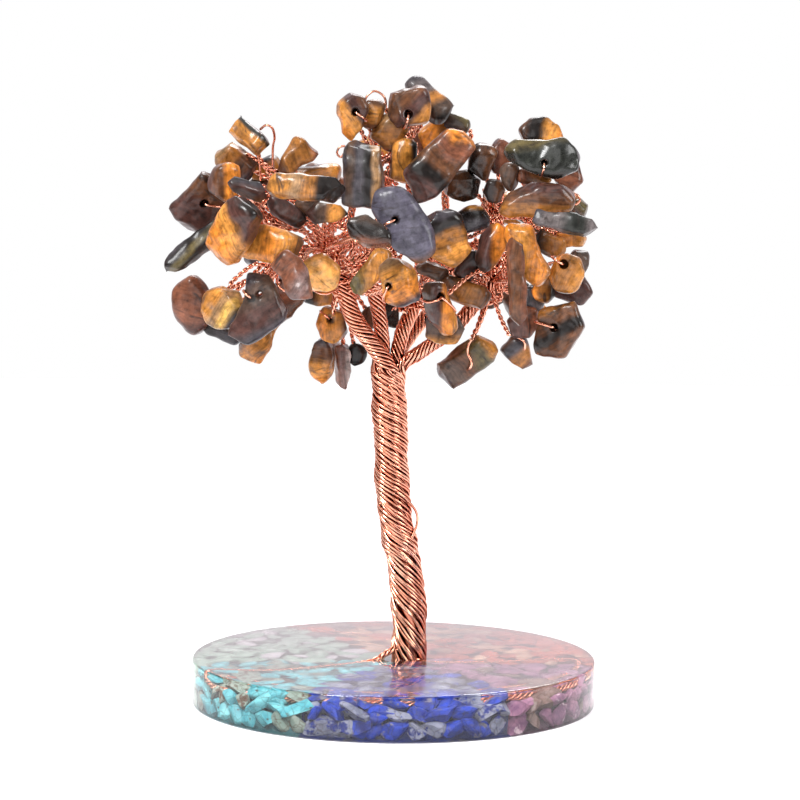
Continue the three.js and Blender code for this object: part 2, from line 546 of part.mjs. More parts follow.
function copperTree() {
  const trunk = bundle(trunkCurve(), {
    startRadius: trunkDiameter / 2,
    endRadius: trunkDiameter / 2,
    sides: 2 * trunkStrands,
    steps: trunkRings,
    relief: trunkRelief,
    lay: trunkLay,
  });
  const limbSolids = limbs.map((limb) => {
    const curve = limbCurve(limb);
    const steps = Math.max(1, Math.round(curve.getLength() / limbStep));
    const [startRadius, endRadius] = limb.thick.map((thickness) => thickness / 2);
    return bundle(curve, { startRadius, endRadius, sides: limbSides, steps });
  });
  const tufts = knotPoints.map((point) => {
    const tuft = new THREE.OctahedronGeometry(knotRadius, 0);
    return solidOf(tuft.translate(point.x, point.y, point.z));
  });
  const twigs = pieces.map((piece) => {
    const { curve, steps } = twigTo(piece);
    const radius = twigDiameter / 2;
    return bundle(curve, { startRadius: radius, endRadius: radius, sides: twigSides, steps });
  });
  const cleared = pieces.flatMap(({ chips, shift }) => chips.map((chip) => {
    const { x, y, z } = shift;
    return solidOf(stoneGeometry(chip, stoneGap).translate(x, y, z));
  }));
  const tree = wasm.Manifold.union([trunk, ...limbSolids, ...tufts, ...twigs]);
  const parts = tree.subtract(wasm.Manifold.union(cleared)).decompose();
  return parts.sort((a, b) => b.volume() - a.volume())[0];
}

// The disc: a turned blank with a socket for the foot of the trunk
function resinDisc() {
  const radius = discDiameter / 2;
  const profile = [
    [0, 0],
    [radius - discChamfer, 0],
    [radius, discChamfer],
    [radius, discThickness - discChamfer],
    [radius - discChamfer, discThickness],
    [0, discThickness],
  ];
  const blank = new THREE.LatheGeometry(profile.map(([r, z]) => new THREE.Vector2(r, z)), discSides);
  blank.rotateX(Math.PI / 2);
  const socketRadius = trunkDiameter / 2 + sealGap;
  const socket = new THREE.CylinderGeometry(socketRadius, socketRadius, 2 * footDepth, 2 * trunkStrands);
  socket.rotateX(Math.PI / 2);
  socket.translate(forkAside + footAside, 0, discThickness);
  return geometryOf(solidOf(blank).subtract(solidOf(socket)));
}

const gemstoneTree = new THREE.Group();
gemstoneTree.add(namedMesh('resin_disc', resinDisc(), 'clear_resin'));

const crown = new THREE.Group();
crown.position.set(forkAside, 0, discThickness + forkHeight);
gemstoneTree.add(crown);

crown.add(namedMesh('copper_wire_tree', geometryOf(copperTree()), 'copper'));

for (const { name, finish, chips, shift } of pieces) {
  const fused = wasm.Manifold.union(chips.map(stoneSolid));
  const mesh = namedMesh(name, geometryOf(fused), finish);
  mesh.position.copy(shift);
  crown.add(mesh);
}

export default gemstoneTree;
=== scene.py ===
# %% [markdown]
# # A gemstone tree in a resin disc
#
# The object is a small tree. Its trunk and limbs are thin copper wires twisted together.
# Its leaves are polished chips of tiger's eye threaded on the twigs. Its foot is cast into a
# clear disc in which chips of other stones are sealed.
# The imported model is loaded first. It is the frame: every piece made here stands where it says.

# %% Load the frame
import json
import math
import random

import bmesh
import bpy
from mathutils import Matrix, Vector, noise
from mathutils.bvhtree import BVHTree

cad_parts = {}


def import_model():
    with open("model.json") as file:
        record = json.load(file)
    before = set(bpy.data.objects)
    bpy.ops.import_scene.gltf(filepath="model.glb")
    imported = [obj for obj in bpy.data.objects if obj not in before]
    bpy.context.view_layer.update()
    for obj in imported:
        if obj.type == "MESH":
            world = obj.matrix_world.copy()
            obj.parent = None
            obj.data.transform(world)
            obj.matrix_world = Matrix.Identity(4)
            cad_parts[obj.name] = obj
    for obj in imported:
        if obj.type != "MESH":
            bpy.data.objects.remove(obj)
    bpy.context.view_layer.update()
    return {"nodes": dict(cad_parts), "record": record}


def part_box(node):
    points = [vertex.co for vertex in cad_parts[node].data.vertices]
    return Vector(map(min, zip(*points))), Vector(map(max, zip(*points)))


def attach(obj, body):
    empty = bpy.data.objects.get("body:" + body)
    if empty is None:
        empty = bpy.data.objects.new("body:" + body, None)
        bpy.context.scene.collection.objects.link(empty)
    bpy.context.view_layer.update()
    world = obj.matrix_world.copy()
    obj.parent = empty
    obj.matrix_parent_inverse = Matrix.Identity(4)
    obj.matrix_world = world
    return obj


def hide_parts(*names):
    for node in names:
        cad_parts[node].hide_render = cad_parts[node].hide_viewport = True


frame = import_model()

MM = 0.001
slot_of = {part["node"]: part["material_slot"] for part in frame["record"]["subparts"]}
print("nodes in the frame:", len(frame["nodes"]))

# %% [markdown]
# ## Two small helpers
#
# Almost every step ends in the same way: a shape becomes a mesh with a material, and the mesh
# becomes an object of the scene.

# %% Meshes and objects


def mesh_of(name, shape, material, smooth=True):
    """A mesh from a bmesh, with its material and smooth or flat faces."""
    mesh = bpy.data.meshes.new(name)
    shape.to_mesh(mesh)
    mesh.materials.append(material)
    mesh.polygons.foreach_set("use_smooth", [smooth] * len(mesh.polygons))
    return mesh


def object_of(name, data):
    """A new object of the scene that holds the given data."""
    item = bpy.data.objects.new(name, data)
    bpy.context.scene.collection.objects.link(item)
    return item


print("helpers are ready")

# %% [markdown]
# ## The camera
#
# The photograph was taken from a little above the crown with a long lens, which keeps the disc's
# ellipse flat and the trunk upright. The camera was not quite level, so it has a small roll too.

# %% Camera
CAMERA_DISTANCE = 900 * MM
CAMERA_PITCH = math.radians(7.61)
CAMERA_ROLL = math.radians(0.6)
CAMERA_TARGET = Vector((0.74, 0, 61.52)) * MM
FOCAL_LENGTH = 202.77
FILM_WIDTH = 36

camera_data = bpy.data.cameras.new("camera")
camera_data.lens = FOCAL_LENGTH
camera_data.sensor_width = FILM_WIDTH
camera_data.clip_start = 0.01
camera = object_of("camera", camera_data)
backward = Vector((0, -math.cos(CAMERA_PITCH), math.sin(CAMERA_PITCH)))
camera_place = CAMERA_TARGET + CAMERA_DISTANCE * backward
sight = (CAMERA_TARGET - camera_place).normalized()
right = Vector((1, 0, 0))
above = right.cross(sight)
level = Matrix((right, above, -sight)).transposed().to_4x4()
roll = Matrix.Rotation(CAMERA_ROLL, 4, "Z")
camera.matrix_world = Matrix.Translation(camera_place) @ level @ roll
bpy.context.scene.camera = camera
print("camera at", [round(value, 3) for value in camera_place])

# %% [markdown]
# ## Places
#
# Places in the crown are given as the eye sees them: across and up from the fork where the limbs
# part, and depth away from the eye. What lies farther back sits a little lower and still shows at
# the same height, because the camera looks slightly down. One function turns such a place into a
# point of the frame, so the wires can be laid out in millimetres.

# %% Places in the crown
disc_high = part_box("resin_disc")[1]
DISC_RADIUS = disc_high.x
DISC_TOP = disc_high.z
FORK = Vector((-1.7 * MM, 0, DISC_TOP + 60.3 * MM))
SIGHT_SLOPE = math.tan(math.radians(5.4))


def crown_point(across, up, depth):
    """A place in the crown, in millimetres from the fork, as a point of the frame."""
    return FORK + Vector((across, depth, up - depth * SIGHT_SLOPE)) * MM


print("disc", round(DISC_RADIUS / MM, 2), "mm in radius and", round(DISC_TOP / MM, 2), "mm thick")

# %% [markdown]
# ## Helpers for materials
#
# Each finish is a small node tree around one Principled shader. A helper adds a node and wires its
# inputs, so that each recipe below reads like a list of layers.

# %% Node helpers


def new_material(name, **values):
    """An empty recipe: a Principled shader with the given constant values."""
    material = bpy.data.materials.new(name)
    material.use_nodes = True
    shader = material.node_tree.nodes["Principled BSDF"]
    for label, value in values.items():
        shader.inputs[label.replace("_", " ").title().replace("Ior", "IOR")].default_value = value
    return material, material.node_tree, material.node_tree.links, shader


def add_node(tree, kind, inputs=(), **settings):
    """A node with its settings. Its inputs are given as {name: value or another output}."""
    node = tree.nodes.new(kind)
    for key, value in settings.items():
        setattr(node, key, value)
    for key, value in dict(inputs).items():
        if isinstance(value, bpy.types.NodeSocket):
            tree.links.new(value, node.inputs[key])
        else:
            node.inputs[key].default_value = value
    return node


def place_in(tree, space="Object"):
    """The place of the shaded point."""
    return add_node(tree, "ShaderNodeTexCoord").outputs[space]


def noise_of(tree, vector, scale, detail, roughness, distortion=0.0):
    """The value of a noise of that scale, detail and roughness."""
    node = add_node(tree, "ShaderNodeTexNoise", {
        "Vector": vector, "Scale": scale, "Detail": detail, "Roughness": roughness,
        "Distortion": distortion})
    return node.outputs["Fac"]


def stretched(tree, vector, scale):
    """A vector scaled on each of its axes."""
    return add_node(tree, "ShaderNodeMapping", {"Vector": vector, "Scale": scale}).outputs[0]


def mixed(tree, factor, first, second, blend="MIX"):
    """Two colours mixed by a factor."""
    node = add_node(
        tree, "ShaderNodeMix", {"Factor": factor, 6: first, 7: second}, data_type="RGBA",
        blend_type=blend)
    return node.outputs[2]


def spread(tree, value, low, high, start=0.0, end=1.0):
    """A value that runs from low to high where the given one runs from start to end."""
    node = add_node(tree, "ShaderNodeMapRange", {
        "Value": value, "From Min": start, "From Max": end, "To Min": low, "To Max": high})
    return node.outputs[0]


def relief(material, height, strength, distance):
    """Gives a material a bump from a height."""
    links = material.node_tree.links
    bump = add_node(material.node_tree, "ShaderNodeBump", {
        "Height": height, "Strength": strength, "Distance": distance})
    links.new(bump.outputs[0], material.node_tree.nodes["Principled BSDF"].inputs["Normal"])


def ramp(tree, factor, stops):
    """The colour of a ramp through (place, colour or grey value) stops, driven by a factor."""
    node = add_node(tree, "ShaderNodeValToRGB", {"Fac": factor})
    elements = node.color_ramp.elements
    while len(elements) < len(stops):
        elements.new(0.5)
    for element, (place, color) in zip(elements, stops):
        element.position = place
        element.color = (*color, 1) if isinstance(color, tuple) else (color, color, color, 1)
    return node.outputs["Color"]


print("node helpers are ready")

# %% [markdown]
# ## The finish of tiger's eye
#
# Tiger's eye is a silky fibrous stone in bands of gold, brown and slate. The broad bands differ
# from chip to chip, so they are painted on each chip's points as an attribute. The fine silk is
# the same on all of them: a noise drawn out along the fibres. It is read in each chip's own grain
# directions, which are a second attribute. Dark iron threads and a faint bump finish it.

# %% Tiger's eye


def tiger_eye(name, roughness, coat, silk):
    """Polished tiger's eye, with its bands from the chip's own colour and grain attributes."""
    material, tree, links, shader = new_material(
        name, coat_weight=coat, coat_roughness=0.17, specular_ior_level=0.25)
    band = add_node(tree, "ShaderNodeAttribute", attribute_name="stone_colour").outputs["Color"]
    grain = add_node(tree, "ShaderNodeAttribute", attribute_name="grain").outputs["Vector"]
    fibre = noise_of(tree, stretched(tree, grain, (1, 0.09, 0.3)), 1900, 7, 0.62, 0.25)
    silk_tone = ramp(tree, fibre, [(0.3, 1 - silk), (0.5, 1), (0.72, 1 + 0.8 * silk)])
    silky = mixed(tree, 1.0, band, silk_tone, "MULTIPLY")
    mottle = noise_of(tree, grain, 800, 5, 0.65)
    mottle_tone = ramp(tree, mottle, [(0.3, 0.45), (0.47, 1), (0.68, 1.45)])
    mottled = mixed(tree, 1.0, silky, mottle_tone, "MULTIPLY")
    threads = noise_of(tree, stretched(tree, grain, (1, 0.16, 0.5)), 620, 4, 0.55, 0.6)
    iron = ramp(tree, threads, [(0.3, 0.85), (0.39, 0)])
    links.new(mixed(tree, iron, mottled, (0.022, 0.014, 0.012, 1)), shader.inputs["Base Color"])
    pits = noise_of(tree, grain, 2600, 3, 0.6)
    links.new(spread(tree, pits, roughness - 0.08, roughness + 0.12), shader.inputs["Roughness"])
    relief(material, fibre, 0.3, 0.00014)
    return material


stone_finishes = {
    "tiger_eye_gold": tiger_eye("tiger_eye_gold", 0.3, 0.4, 0.5),
    "tiger_eye_brown": tiger_eye("tiger_eye_brown", 0.33, 0.35, 0.45),
    "tiger_eye_plum": tiger_eye("tiger_eye_plum", 0.36, 0.28, 0.35),
    "tiger_eye_slate": tiger_eye("tiger_eye_slate", 0.38, 0.25, 0.26),
    "tiger_eye_dark": tiger_eye("tiger_eye_dark", 0.26, 0.45, 0.45),
    "tiger_eye_banded": tiger_eye("tiger_eye_banded", 0.33, 0.35, 0.45),
    "tiger_eye_honey": tiger_eye("tiger_eye_honey", 0.2, 0.5, 0.12),
}
honey = stone_finishes["tiger_eye_honey"].node_tree.nodes["Principled BSDF"]
honey.inputs["Subsurface Weight"].default_value = 0.6
honey.inputs["Subsurface Radius"].default_value = (0.003, 0.0016, 0.0006)
print("finishes of tiger's eye:", len(stone_finishes))

# %% [markdown]
# ## The colours of the chips
#
# The broad bands of each chip are named from a small palette. A look is the direction in
# which the bands follow each other, in degrees anticlockwise from "to the right" as seen from the
# front, and then their names in that order. Chips that only show from behind take their looks
# from a list of common ones.

# %% Palette
PALETTE = {
    "gold": (0.45, 0.182, 0.034),
    "orange": (0.50, 0.165, 0.022),
    "amber": (0.27, 0.105, 0.022),
    "yellow": (0.46, 0.265, 0.065),
    "tan": (0.28, 0.155, 0.070),
    "olive": (0.090, 0.068, 0.026),
    "brown": (0.095, 0.037, 0.016),
    "rust": (0.150, 0.052, 0.027),
    "plum": (0.058, 0.024, 0.019),
    "mauve": (0.15, 0.090, 0.080),
    "taupe": (0.068, 0.040, 0.028),
    "slate": (0.043, 0.037, 0.043),
    "grey": (0.11, 0.090, 0.088),
    "teal": (0.017, 0.018, 0.015),
    "dark": (0.007, 0.0042, 0.0034),
    "white": (0.42, 0.36, 0.34),
    "honey": (0.68, 0.34, 0.095),
    "steel": (0.066, 0.060, 0.082),
}
print("colours of the bands:", len(PALETTE))

# %% Looks
looks = {
    "top_front": ["-40 brown brown plum gold"],
    "top_back": ["-60 slate grey amber taupe dark"],
    "top_pair_left": ["215 brown plum gold orange"],
    "top_inner": ["90 brown gold brown", "90 brown amber tan", "0 dark gold gold dark"],
    "high_left_block": ["45 gold amber gold teal mauve"],
    "high_left_slab": ["-50 tan amber brown slate"],
    "high_left_boot": ["20 brown amber amber rust"],
    "left_plum": ["60 plum plum brown plum"],
    "left_orange_wedge": ["0 plum brown orange orange"],
    "left_thin_grey": ["80 brown plum slate"],
    "left_long_gold": ["0 brown gold tan amber dark dark"],
    "left_orange": ["30 orange orange gold plum dark"],
    "left_gold_block": ["-10 dark gold orange gold brown"],
    "left_long_dark": ["-40 slate dark olive dark taupe"],
    "left_plum_trio": ["-30 plum plum dark", "90 brown taupe", "0 plum taupe gold dark"],
    "left_low_pair": ["80 plum rust rust", "0 dark slate"],
    "left_banded": ["-35 amber gold tan yellow slate"],
    "left_big_slate": ["-60 slate taupe plum slate"],
    "left_gold_edge": ["-45 brown amber orange"],
    "left_reddish": ["-40 rust rust mauve rust"],
    "left_honey": ["60 honey honey gold"],
    "under_orange": ["0 orange gold brown"],
    "under_long": ["-90 slate brown gold orange"],
    "under_pair": ["0 rust rust mauve white", "0 dark dark"],
    "behind_fork": ["0 taupe brown", "0 dark dark"],
    "middle_slab": ["0 slate taupe slate dark tan plum"],
    "middle_oval": ["80 rust dark taupe"],
    "middle_tear": ["105 brown steel steel steel steel"],
    "middle_striped": ["52 dark plum dark brown rust orange"],
    "middle_yellow": ["-75 slate dark amber gold gold"],
    "middle_olive": ["0 olive gold amber"],
    "middle_drilled": ["-60 tan gold orange slate"],
    "front_stub": ["0 taupe plum orange gold"],
    "front_grey_rim": ["-90 slate taupe gold"],
    "front_brown_logs": ["90 taupe brown", "-20 brown amber brown", "0 plum dark"],
    "low_big": ["40 slate taupe brown olive gold"],
    "low_small": ["-50 taupe slate amber brown"],
    "right_curved": ["90 dark slate dark gold"],
    "right_dark_trio": ["0 brown dark", "0 dark brown", "0 plum rust"],
    "right_big_green": ["-80 olive teal teal dark"],
    "right_small_trio": ["0 dark brown", "0 taupe brown", "0 rust amber"],
    "right_long_slab": ["-90 plum brown amber orange"],
    "right_grey_finger": ["-10 slate grey teal grey"],
    "right_dark_orange": ["0 dark plum orange amber"],
    "right_long_orange": ["0 orange gold orange amber"],
    "right_long_finger": ["0 rust brown rust"],
    "right_heart": ["-30 orange amber gold"],
    "right_inner_pair": ["0 dark amber", "0 orange gold"],
    "right_outer_pair": ["0 plum plum", "0 grey taupe"],
    "right_lower_trio": ["0 plum rust", "0 slate grey", "0 orange amber dark"],
    "right_low_big": ["-60 amber brown dark brown brown"],
}
common_looks = [
    "20 amber gold brown", "70 brown rust plum", "-30 gold orange amber dark", "50 slate taupe olive",
    "0 dark brown amber", "110 tan gold slate", "-60 plum rust brown", "160 orange gold dark brown",
]


def band_color(bands, share):
    """The colour at a share of the way through the bands, with a soft step from one to the next."""
    place = min(max(share, 0), 0.9999) * (len(bands) - 1)
    step = int(place)
    blend = min(max((place - step - 0.2) / 0.6, 0), 1)
    return bands[step].lerp(bands[step + 1], blend * blend * (3 - 2 * blend))


print("looks given by eye:", sum(len(entry) for entry in looks.values()))

# %% [markdown]
# ## The chips of tiger's eye
#
# The frame holds each chip as a flat-sided block of the right size. A tumbled chip has the same
# block form with its corners worn off and a few oblique faces. So each block gets an even skin of
# small faces from a voxel remesh, which is then ground: points that stand past a random plane are
# pressed back onto it. Smoothing rounds what is left, and a slow noise takes off the last
# straightness. Chips that touch each other share one node, and they part along its creases.

# %% Chip forms out of the frame
CREASE = math.radians(-2)
SMALLEST_CHIP = 6 * MM ** 3


def part_at_creases(block):
    """The separate convex chips of a fused block, from left to right."""
    inner = [edge for edge in block.edges if edge.is_manifold]
    creases = [edge for edge in inner if edge.calc_face_angle_signed() < CREASE]
    bmesh.ops.split_edges(block, edges=creases)
    loose = set(block.verts)
    chips = []
    while loose:
        found = {loose.pop()}
        front = list(found)
        while front:
            vert = front.pop()
            near = [edge.other_vert(vert) for edge in vert.link_edges]
            fresh = [other for other in near if other not in found]
            found.update(fresh)
            front.extend(fresh)
        loose -= found
        chip = bmesh.new()
        for vert in found:
            chip.verts.new(vert.co)
        bmesh.ops.remove_doubles(chip, verts=chip.verts, dist=1e-6)
        if len(chip.verts) < 4:
            continue
        hull = bmesh.ops.convex_hull(chip, input=chip.verts)
        spare = [item for item in hull["geom_interior"] if isinstance(item, bmesh.types.BMVert)]
        bmesh.ops.delete(chip, geom=spare, context="VERTS")
        if chip.calc_volume() > SMALLEST_CHIP:
            chips.append(chip)
    return sorted(chips, key=lambda chip: sum(vert.co.x for vert in chip.verts) / len(chip.verts))


def chip_blocks(node):
    """The blocks of one node of the frame, as closed meshes."""
    block = bmesh.new()
    block.from_mesh(frame["nodes"][node].data)
    bmesh.ops.remove_doubles(block, verts=block.verts, dist=1e-6)
    return part_at_creases(block) if node.startswith("chips_") else [block]


blocks = {node: chip_blocks(node) for node in frame["nodes"] if node.startswith("chip")}
print("chips:", sum(len(entry) for entry in blocks.values()))

# %% Grinding a chip
FINE_SKIN = 0.3 * MM
COARSE_SKIN = 0.45 * MM
GRIND_CUTS = 6
GRIND_SHARE = (0.03, 0.11)
PEBBLES = (
    "chip_middle_tear", "chip_left_honey", "chip_right_heart", "chips_left_low_pair", "chip_top_back")
PEBBLE_ROUNDS = 70
WORN_ROUNDS = (4, 7, 12)
BACK_ROUNDS = 6
SMOOTHING = 0.5
HOLE_RADIUS = 0.9 * MM
HOLE_RIM = 1.5 * MM
WEB_RADIUS = 1.1 * MM
WEB_DEPTH = 0.9 * MM
WEB_SHIFT = 0.5 * MM


def even_skin(name, block, size):
    """The block as a closed skin of small even faces."""
    mesh = bpy.data.meshes.new(name)
    block.to_mesh(mesh)
    rough = object_of(name + "_block", mesh)
    remesh = rough.modifiers.new("even_skin", "REMESH")
    remesh.mode = "VOXEL"
    remesh.voxel_size = size
    depsgraph = bpy.context.evaluated_depsgraph_get()
    skin = bmesh.new()
    skin.from_mesh(rough.evaluated_get(depsgraph).data)
    bpy.data.objects.remove(rough)
    bpy.data.meshes.remove(mesh)
    return skin


def hole_through(block):
    """The middle of the hole drilled through a block, and its direction to the eye, or None."""
    if len(block.verts) - len(block.edges) + len(block.faces) != 0:
        return None
    corners = [vert.co for vert in block.verts]
    walls = []
    for face in block.faces:
        level = face.normal.dot(face.verts[0].co)
        if max(corner.dot(face.normal) for corner in corners) > level + 0.2 * MM:
            walls.append(face)
    first = walls[0].normal
    other = max(walls, key=lambda face: first.cross(face.normal).length).normal
    axis = first.cross(other).normalized()
    if axis.y > 0:
        axis = -axis
    ring = {vert for face in walls for vert in face.verts}
    middle = Vector()
    for vert in ring:
        middle += vert.co / len(ring)
    return middle, axis


def web(block, hole):
    """A thin wall half way down a hole, which keeps the light of the far side out of it and is darkened as
    painted shade.
    """
    middle, axis = hole
    turn = Vector((0, 0, 1)).rotation_difference(axis).to_matrix().to_4x4()
    bmesh.ops.create_cone(
        block, cap_ends=True, segments=12, radius1=WEB_RADIUS, radius2=WEB_RADIUS, depth=WEB_DEPTH,
        matrix=Matrix.Translation(middle - WEB_SHIFT * axis) @ turn)


def grind(skin, chance, cuts, share=GRIND_SHARE):
    """Presses the points past a few random planes back onto them."""
    for _ in range(cuts):
        axis = Vector((chance.uniform(-1, 1), chance.uniform(-1.2, 0.7), chance.uniform(-1, 1)))
        axis.normalize()
        heights = [vert.co.dot(axis) for vert in skin.verts]
        low = min(heights)
        high = max(heights)
        limit = high - chance.uniform(*share) * (high - low)
        for vert, height in zip(skin.verts, heights):
            if height > limit:
                vert.co -= (height - limit) * axis


print("grinding helpers are ready")

# %% Wear and bands
# The length and the height of the waves on a worn face, from slow to fine.
WAVES = [(5.5 * MM, 0.8 * MM), (2.2 * MM, 0.26 * MM), (0.9 * MM, 0.03 * MM)]
SWAY_LENGTH = 4 * MM
SWAY_SHARE = 0.09
GRAIN_SWAY = 0.6 * MM
TONE = 1.04
PATCH_LENGTH = 2.6 * MM
PATCH_CONTRAST = 0.45
SPOT_CONTRAST = 0.25
# How dark the painted shade inside a drilled hole is.
HOLE_SHADE = 0.15


def corners_of(skin):
    """The lowest and the highest corner of the box around a skin."""
    places = [vert.co for vert in skin.verts]
    low = Vector([min(place[axis] for place in places) for axis in range(3)])
    high = Vector([max(place[axis] for place in places) for axis in range(3)])
    return low, high


def from_axis(vert, hole):
    """How far a point is from the axis of a hole."""
    return (vert.co - hole[0]).cross(hole[1]).length


def smooth(skin, verts):
    """Moves points half way to the mean of their neighbours."""
    bmesh.ops.smooth_vert(
        skin, verts=verts, factor=SMOOTHING, use_axis_x=True, use_axis_y=True, use_axis_z=True)


def wear(skin, rounds, seed, hole):
    """Rounds the edges at the same overall size, then adds the unevenness of a tumbled stone."""
    free_verts = skin.verts
    if hole:
        free_verts = [vert for vert in skin.verts if from_axis(vert, hole) > HOLE_RIM]
    sharp_low, sharp_high = corners_of(skin)
    smooth(skin, skin.verts)
    for _ in range(rounds):
        smooth(skin, free_verts)
    low, high = corners_of(skin)
    middle = (low + high) / 2
    for vert in skin.verts:
        for axis in range(3):
            grow = (sharp_high[axis] - sharp_low[axis]) / (high[axis] - low[axis])
            vert.co[axis] = middle[axis] + grow * (vert.co[axis] - middle[axis])
    shift = Vector((seed * 3.1, seed * 1.7, seed * 0.9))
    for length, height in WAVES:
        skin.normal_update()
        moves = [noise.noise(vert.co / length + shift) * height for vert in skin.verts]
        for vert, move in zip(skin.verts, moves):
            vert.co += vert.normal * move


def paint(mesh, look, seed, hole):
    """Stores the bands, with painted shade in a drilled hole, as colours and the silk's directions as grain.
    """
    angle, *names = look.split()
    bands = [Vector(PALETTE[name]) for name in names]
    turn = math.radians(int(angle))
    tilt = 0.25 * math.sin(seed)
    across = Vector((math.cos(turn), tilt, math.sin(turn))).normalized()
    fibre = across.cross(Vector((0, 1, 0))).normalized()
    depth = across.cross(fibre)
    places = [vertex.co.dot(across) for vertex in mesh.vertices]
    low = min(places)
    length = max(places) - low
    shift = Vector((seed * 2.3, seed * 0.7, seed * 1.9))
    colors = mesh.attributes.new("stone_colour", "FLOAT_COLOR", "POINT")
    grain = mesh.attributes.new("grain", "FLOAT_VECTOR", "POINT")
    for index, vertex in enumerate(mesh.vertices):
        sway = noise.noise(vertex.co / SWAY_LENGTH + shift)
        share = (places[index] - low) / length + SWAY_SHARE * sway
        tone = TONE + PATCH_CONTRAST * noise.noise(vertex.co / PATCH_LENGTH - shift)
        tone += SPOT_CONTRAST * noise.noise(vertex.co / MM + shift)
        # Inside a drilled hole, and on its web, the colour is darkened: painted shade.
        if hole and from_axis(vertex, hole) < HOLE_RADIUS:
            tone *= HOLE_SHADE
        colors.data[index].color = (*(band_color(bands, share) * tone), 1)
        along = places[index] + GRAIN_SWAY * sway
        local = Vector((along, vertex.co.dot(fibre), vertex.co.dot(depth)))
        grain.data[index].vector = local + shift * MM


print("wear and bands are ready")

# %% Make every chip
FRONT_DEPTH = 2 * MM
chips = []
for number, node in enumerate(sorted(blocks)):
    for part, block in enumerate(blocks[node]):
        own = len(chips)
        chance = random.Random(own + 11)
        in_front = sum(vert.co.y for vert in block.verts) / len(block.verts) < FRONT_DEPTH
        short_name = node.split("_", 1)[1]
        piece_name = "stone_" + short_name
        if len(blocks[node]) > 1:
            piece_name += f"_{part + 1}"
        hole = hole_through(block)
        blank = block.copy()
        if hole:
            web(blank, hole)
        skin = even_skin(piece_name, blank, FINE_SKIN if in_front else COARSE_SKIN)
        if node not in PEBBLES:
            grind(skin, chance, GRIND_CUTS)
        rounds = PEBBLE_ROUNDS if node in PEBBLES else chance.choice(WORN_ROUNDS)
        wear(skin, rounds if in_front else BACK_ROUNDS, own, hole)
        mesh = mesh_of(piece_name, skin, stone_finishes[slot_of[node]])
        given = looks.get(short_name, [])
        look = given[part] if part < len(given) else common_looks[own % len(common_looks)]
        paint(mesh, look, own, hole)
        piece = object_of(piece_name, mesh)
        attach(piece, "root")
        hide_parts(node)
        chips.append({"node": node, "block": block, "piece": piece, "hole": hole})
faces = sum(len(chip["piece"].data.polygons) for chip in chips)
drilled = sum(chip["hole"] is not None for chip in chips)
print("chips made:", len(chips), "faces:", faces, "drilled:", drilled)

# %% [markdown]
# ## The copper wire
#
# Bare copper is a metal with a warm base colour. Handling leaves it slightly uneven, so a noise
# shifts the colour between bright and dull copper and the roughness with it. Between the wires
# the colour is darkened as painted shade, where ambient occlusion finds other wires close by.

# %% Copper
def copper_finish(name, gap, gap_shade_stops):
    """Bare copper with painted shade: darker where other wires stand closer than the gap."""
    material, tree, links, shader = new_material(name, metallic=1.0)
    place = place_in(tree)
    dull = noise_of(tree, place, 180, 3, 0.6)
    tone = ramp(tree, dull, [
        (0.3, (0.80, 0.30, 0.18)), (0.5, (0.94, 0.43, 0.29)), (0.75, (0.99, 0.57, 0.42))])
    # Painted shade: ambient occlusion darkens the colour between the wires.
    gaps = add_node(tree, "ShaderNodeAmbientOcclusion", {"Distance": gap}, samples=6)
    gap_shade = ramp(tree, gaps.outputs["AO"], gap_shade_stops)
    links.new(mixed(tree, 1.0, tone, gap_shade, "MULTIPLY"), shader.inputs["Base Color"])
    links.new(spread(tree, dull, 0.24, 0.12), shader.inputs["Roughness"])
    relief(material, noise_of(tree, place, 2400, 2, 0.6), 0.15, 0.00003)
    return material


# The stops of the painted shade between the wires, from the deepest gap to open copper.
copper = copper_finish("copper", 0.5 * MM, [
    (0.25, (0.2, 0.07, 0.045)), (0.55, (0.85, 0.76, 0.72)), (0.75, 1)])
copper_rope = copper_finish("copper_rope", 1.3 * MM, [
    (0.22, (0.05, 0.010, 0.005)), (0.47, (0.36, 0.17, 0.12)), (0.66, (0.88, 0.76, 0.72)), (0.8, 1)])
print("copper is ready")

# %% [markdown]
# ## Lines for the wires
#
# A bundle of wires follows a smooth line through a few points. Each wire is a helix around that
# line, so the helper walks along the line with a frame that turns as little as possible, and
# places every wire at its own angle. All wires of one bundle become one curve object with a round
# section, and that becomes a mesh.

# %% Wire helpers
WIRE_RADIUS = 0.25 * MM
WIRE_STEP = 0.3 * MM
LINE_STEPS = 24


def smooth_line(points, spacing):
    """Evenly spaced points on a smooth line through the given ones."""
    ends = [2 * points[0] - points[1], *points, 2 * points[-1] - points[-2]]
    dense = []
    for before, start, end, after in zip(ends, ends[1:], ends[2:], ends[3:]):
        for step in range(LINE_STEPS):
            t = step / LINE_STEPS
            dense.append(0.5 * (
                2 * start + (end - before) * t + (2 * before - 5 * start + 4 * end - after) * t ** 2
                + (3 * start - before - 3 * end + after) * t ** 3))
    dense.append(points[-1].copy())
    reach = [0]
    for start, end in zip(dense, dense[1:]):
        reach.append(reach[-1] + (end - start).length)
    count = max(2, round(reach[-1] / spacing))
    line = []
    index = 0
    for step in range(count + 1):
        target = reach[-1] * step / count
        while index < len(dense) - 2 and reach[index + 1] < target:
            index += 1
        share = (target - reach[index]) / max(reach[index + 1] - reach[index], 1e-9)
        line.append(dense[index].lerp(dense[index + 1], min(max(share, 0), 1)))
    return line


def frames_along(line):
    """Each point with its tangent and two directions across it, turning as little as possible."""
    frames = []
    side = None
    for index, point in enumerate(line):
        tangent = (line[min(index + 1, len(line) - 1)] - line[max(index - 1, 0)]).normalized()
        if side is None:
            side = tangent.orthogonal().normalized()
        side = (side - side.dot(tangent) * tangent).normalized()
        frames.append((point, tangent, side, tangent.cross(side)))
    return frames


def crown_line(places, spacing):
    """A smooth line through places of the crown."""
    return smooth_line([crown_point(*place) for place in places], spacing)


